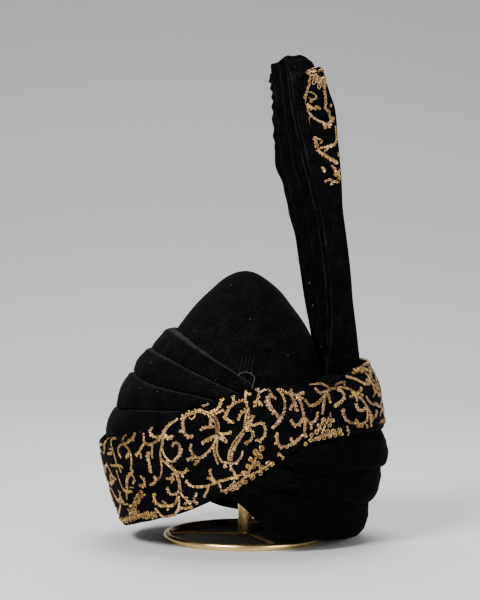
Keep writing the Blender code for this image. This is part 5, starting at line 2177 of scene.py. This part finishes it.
@dataclass
class Stand:
    """The brass wire stand: ring, spokes and hub, the post, and the disc under the crown."""

    brass: bpy.types.Material
    ring_radius: float = 68.0 * MM
    ring_segments: int = 128
    wire: float = 3.0 * MM
    wire_sides: int = 24
    spoke: float = 1.45 * MM
    spoke_sides: int = 20
    spoke_height: float = 3.9 * MM
    spoke_angles: tuple[float, ...] = (56.0, 176.0, 296.0)
    solder: float = 2.175 * MM
    solder_rings: int = 12
    hub_radius: float = 5.0 * MM
    hub_bottom: float = 2.9 * MM
    hub_top: float = 6.4 * MM
    hub_sides: int = 48
    post_radius: float = 6.25 * MM
    post_bottom: float = 6.8 * MM
    post_sides: int = 64
    rounding: float = 0.5 * MM
    rounding_steps: int = 3
    sharp_from: float = 40.0

    def build(self) -> None:
        """Makes the wirework and the post, and dresses the disc."""
        self.make_wirework()
        self.make_post()
        disc = bpy.data.objects["stand_disc"]
        disc.data.materials.clear()
        disc.data.materials.append(self.brass)

    def rounded_cylinder(self, radius: float, bottom: float, top: float, sides: int) -> bpy.types.Object:
        """An upright cylinder with rounded rims.

        Args:
            radius: its radius.
            bottom: its lower height.
            top: its upper height.
            sides: its number of sides.

        Returns:
            The cylinder.
        """
        bpy.ops.object.select_all(action="DESELECT")
        bpy.ops.mesh.primitive_cylinder_add(
            vertices=sides, radius=radius, depth=top - bottom, location=(0, 0, (top + bottom) / 2)
        )
        cylinder = bpy.context.object
        bpy.ops.object.transform_apply(location=True, rotation=True, scale=True)
        apply_modifier(
            cylinder, "BEVEL", width=self.rounding, segments=self.rounding_steps, limit_method="ANGLE"
        )
        return cylinder

    def spoke_parts(self, degrees: float) -> list[bpy.types.Object]:
        """One spoke and the ball of solder that holds it to the ring.

        Args:
            degrees: the spoke's direction from +X.

        Returns:
            The two parts.
        """
        angle = math.radians(degrees)
        way = Vector((math.cos(angle), math.sin(angle), 0.0))
        lift = Vector((0, 0, self.spoke_height))
        bpy.ops.mesh.primitive_cylinder_add(
            vertices=self.spoke_sides,
            radius=self.spoke,
            depth=self.ring_radius,
            location=way * self.ring_radius / 2 + lift,
            rotation=(0.0, math.pi / 2, angle),
        )
        spoke = bpy.context.object
        bpy.ops.mesh.primitive_uv_sphere_add(
            segments=self.spoke_sides,
            ring_count=self.solder_rings,
            radius=self.solder,
            location=way * (self.ring_radius - self.wire) + lift,
        )
        return [spoke, bpy.context.object]

    def make_wirework(self) -> None:
        """The ring, three spokes, their solder and the hub, as one piece."""
        bpy.ops.object.select_all(action="DESELECT")
        bpy.ops.mesh.primitive_torus_add(
            location=(0, 0, self.wire),
            major_segments=self.ring_segments,
            minor_segments=self.wire_sides,
            major_radius=self.ring_radius,
            minor_radius=self.wire,
        )
        parts = [bpy.context.object]
        parts.append(self.rounded_cylinder(self.hub_radius, self.hub_bottom, self.hub_top, self.hub_sides))
        for degrees in self.spoke_angles:
            parts.extend(self.spoke_parts(degrees))
        select_only(parts[0])
        for part in parts:
            part.select_set(True)
        bpy.ops.object.join()
        wirework = bpy.context.object
        wirework.name = "wire_stand"
        bpy.ops.object.transform_apply(location=True, rotation=True, scale=True)
        shade(wirework, self.sharp_from)
        dress(wirework, self.brass, Slot.BRASS, "stand_base")

    def make_post(self) -> None:
        """The round post that rises into the cap."""
        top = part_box("stand_post")[1][2]
        post = self.rounded_cylinder(self.post_radius, self.post_bottom, top, self.post_sides)
        post.name = "stand_post_brass"
        shade(post, self.sharp_from)
        dress(post, self.brass, Slot.BRASS, "stand_post")


@dataclass
class StrayStitch:
    """The short pale thread that loops out of the velvet above the band, both ends sewn in."""

    finish: bpy.types.Material
    knots: tuple[tuple[float, float], ...] = (
        (-7.0, 149.0),
        (-3.9, 151.2),
        (1.2, 151.8),
        (6.0, 149.3),
        (7.5, 146.8),
        (6.3, 143.0),
        (5.0, 139.5),
    )
    thread: float = 0.22 * MM
    proud: float = 0.9 * MM
    sewn_share: float = 0.05
    sides: int = 8
    step: float = 0.5
    tone: float = 0.5
    ray_start: float = -0.25

    def build(self, cloth: Sequence[bpy.types.Object]) -> None:
        """Lays the thread over the cloth that the camera sees there.

        Args:
            cloth: the pieces that it may lie on.
        """
        trees = [tree_of(piece) for piece in cloth]

        def find(x: float, z: float) -> Hit:
            """Casts a ray from the near side.

            Args:
                x: the place from front to back, in millimetres.
                z: the height, in millimetres.

            Returns:
                The nearest place on the cloth and its normal, or None beside it.
            """
            start = Vector((x * MM, self.ray_start, z * MM))
            hits = [tree.ray_cast(start, Vector((0, 1, 0))) for tree in trees]
            hits = [hit for hit in hits if hit[0] is not None]
            if not hits:
                return None
            spot, normal, _, _ = min(hits, key=lambda hit: hit[3])
            return spot, normal

        couching = Couching(find, sides=self.sides, step=self.step)
        chart = spline(np.array(self.knots), couching.step)
        share = np.linspace(0, 1, len(chart))
        lift = self.thread + self.proud * np.sin(math.pi * share) ** 2
        lift[share < self.sewn_share] = -self.thread
        couching.lay(chart, lift, self.tone, self.thread)
        stitch = couching.draft.build("stray_stitch")
        shade(stitch)
        dress(stitch, self.finish, Slot.VELVET)


class Lamp(NamedTuple):
    """A square soft light: its name, place, power in watts and side in metres."""

    name: str
    place: tuple[float, float, float]
    watts: float
    size: float


@dataclass
class Studio:
    """Pale floor, soft lights and the camera at the photograph's angle."""

    floor_size: float = 10.0
    floor_forward: float = 0.2
    wall_height: float = 5.0
    sweep_radius: float = 2.0
    sweep_segments: int = 32
    air: tuple[float, float, float, float] = (0.85, 0.87, 0.90, 1.0)
    air_strength: float = 0.24
    lamps: tuple[Lamp, ...] = (
        Lamp("key", (-1.1, -1.5, 1.6), 82.0, 0.7),
        Lamp("fill", (1.4, -1.4, 0.7), 20.0, 0.8),
        Lamp("top", (0.1, 0.5, 1.7), 38.0, 1.1),
    )
    aim: tuple[float, float, float] = (0.0, 0.0, 0.2)
    camera_place: tuple[float, float, float] = (-0.00457, -2.0, 0.34)
    camera_pitch: float = 3.8
    lens: float = 139.2
    sensor: float = 36.0

    def build(self) -> None:
        """Makes the floor, the world, the lights and the camera."""
        self.make_sweep()
        world = bpy.data.worlds.new("studio")
        world.use_nodes = True
        background = world.node_tree.nodes["Background"]
        background.inputs["Color"].default_value = self.air
        background.inputs["Strength"].default_value = self.air_strength
        bpy.context.scene.world = world
        for lamp in self.lamps:
            self.light(lamp)
        self.make_camera()

    def make_sweep(self) -> None:
        """The floor, which turns up behind the cap in one wide curve."""
        bpy.ops.object.select_all(action="DESELECT")
        bpy.ops.mesh.primitive_plane_add(
            size=self.floor_size, location=(0, -self.floor_size * self.floor_forward, 0)
        )
        sweep = bpy.context.object
        sweep.name = "studio_sweep"
        bpy.ops.object.transform_apply(location=True)
        back = max(vertex.co.y for vertex in sweep.data.vertices)
        self.select_edges(sweep, lambda point: point.y > back - MM)
        bpy.ops.mesh.extrude_region_move(TRANSFORM_OT_translate={"value": (0, 0, self.wall_height)})
        self.select_edges(sweep, lambda point: point.y > back - MM and point.z < MM)
        bpy.ops.mesh.bevel(offset=self.sweep_radius, segments=self.sweep_segments, affect="EDGES")
        bpy.ops.object.mode_set(mode="OBJECT")
        shade(sweep)
        sweep.data.materials.append(FloorFinish().build())

    def select_edges(self, thing: bpy.types.Object, wanted: Callable[[Vector], bool]) -> None:
        """Leaves edit mode if needed, selects the edges whose ends are both wanted, and enters edit mode.

        Args:
            thing: the object.
            wanted: tells whether an end counts.
        """
        if thing.mode == "EDIT":
            bpy.ops.object.mode_set(mode="OBJECT")
        mesh = thing.data
        for vertex in mesh.vertices:
            vertex.select = wanted(vertex.co)
        for edge in mesh.edges:
            edge.select = all(mesh.vertices[index].select for index in edge.vertices)
        for face in mesh.polygons:
            face.select = False
        bpy.ops.object.mode_set(mode="EDIT")
        bpy.ops.mesh.select_mode(type="EDGE")

    def light(self, lamp: Lamp) -> None:
        """Adds a soft light that faces the cap.

        Args:
            lamp: the light.
        """
        data = bpy.data.lights.new(lamp.name, "AREA")
        data.energy = lamp.watts
        data.size = lamp.size
        placed = bpy.data.objects.new(lamp.name, data)
        placed.location = lamp.place
        way = Vector(self.aim) - Vector(lamp.place)
        placed.rotation_euler = way.to_track_quat("-Z", "Y").to_euler()
        bpy.context.scene.collection.objects.link(placed)

    def make_camera(self) -> None:
        """The camera, fitted to the photograph."""
        data = bpy.data.cameras.new("camera")
        data.lens = self.lens
        data.sensor_width = self.sensor
        camera = bpy.data.objects.new("camera", data)
        camera.location = self.camera_place
        camera.rotation_euler = (math.radians(90.0 - self.camera_pitch), 0.0, 0.0)
        bpy.context.scene.collection.objects.link(camera)
        bpy.context.scene.camera = camera


def main() -> None:
    """Loads the frame and builds the looks in order."""
    logging.basicConfig(level=logging.INFO, format="%(name)s: %(message)s")
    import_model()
    velvet = VelvetFinish().build()
    crown_velvet = VelvetFinish(name="crown_velvet_pile", crush=CrushMarks()).build()
    # A darker copy of the velvet for the wraps and the wound base: painted shade for the lower body under the
    # band
    shaded_wrap_velvet = VelvetFinish(
        name="shaded_wrap_velvet_pile", brushed=(0.0030, 0.0030, 0.0033), lint=(0.03, 0.03, 0.03), sheen=0.010
    ).build()
    plume_cloth = VelvetFinish(name="plume_cloth", lint_spacing=0.02, rib_depth=0.0005).build()
    gold = GoldThreadFinish().build()
    Studio().build()
    Cap(velvet, crown_velvet, shaded_wrap_velvet, gold).build()
    Plume(plume_cloth, velvet, gold).build()
    Stand(BrassFinish().build()).build()
    near_cloth = [bpy.data.objects[name] for name in ("crown_velvet", "upper_fold_1_velvet")]
    StrayStitch(StrayThreadFinish().build()).build(near_cloth)


if __name__ == "__main__":
    main()
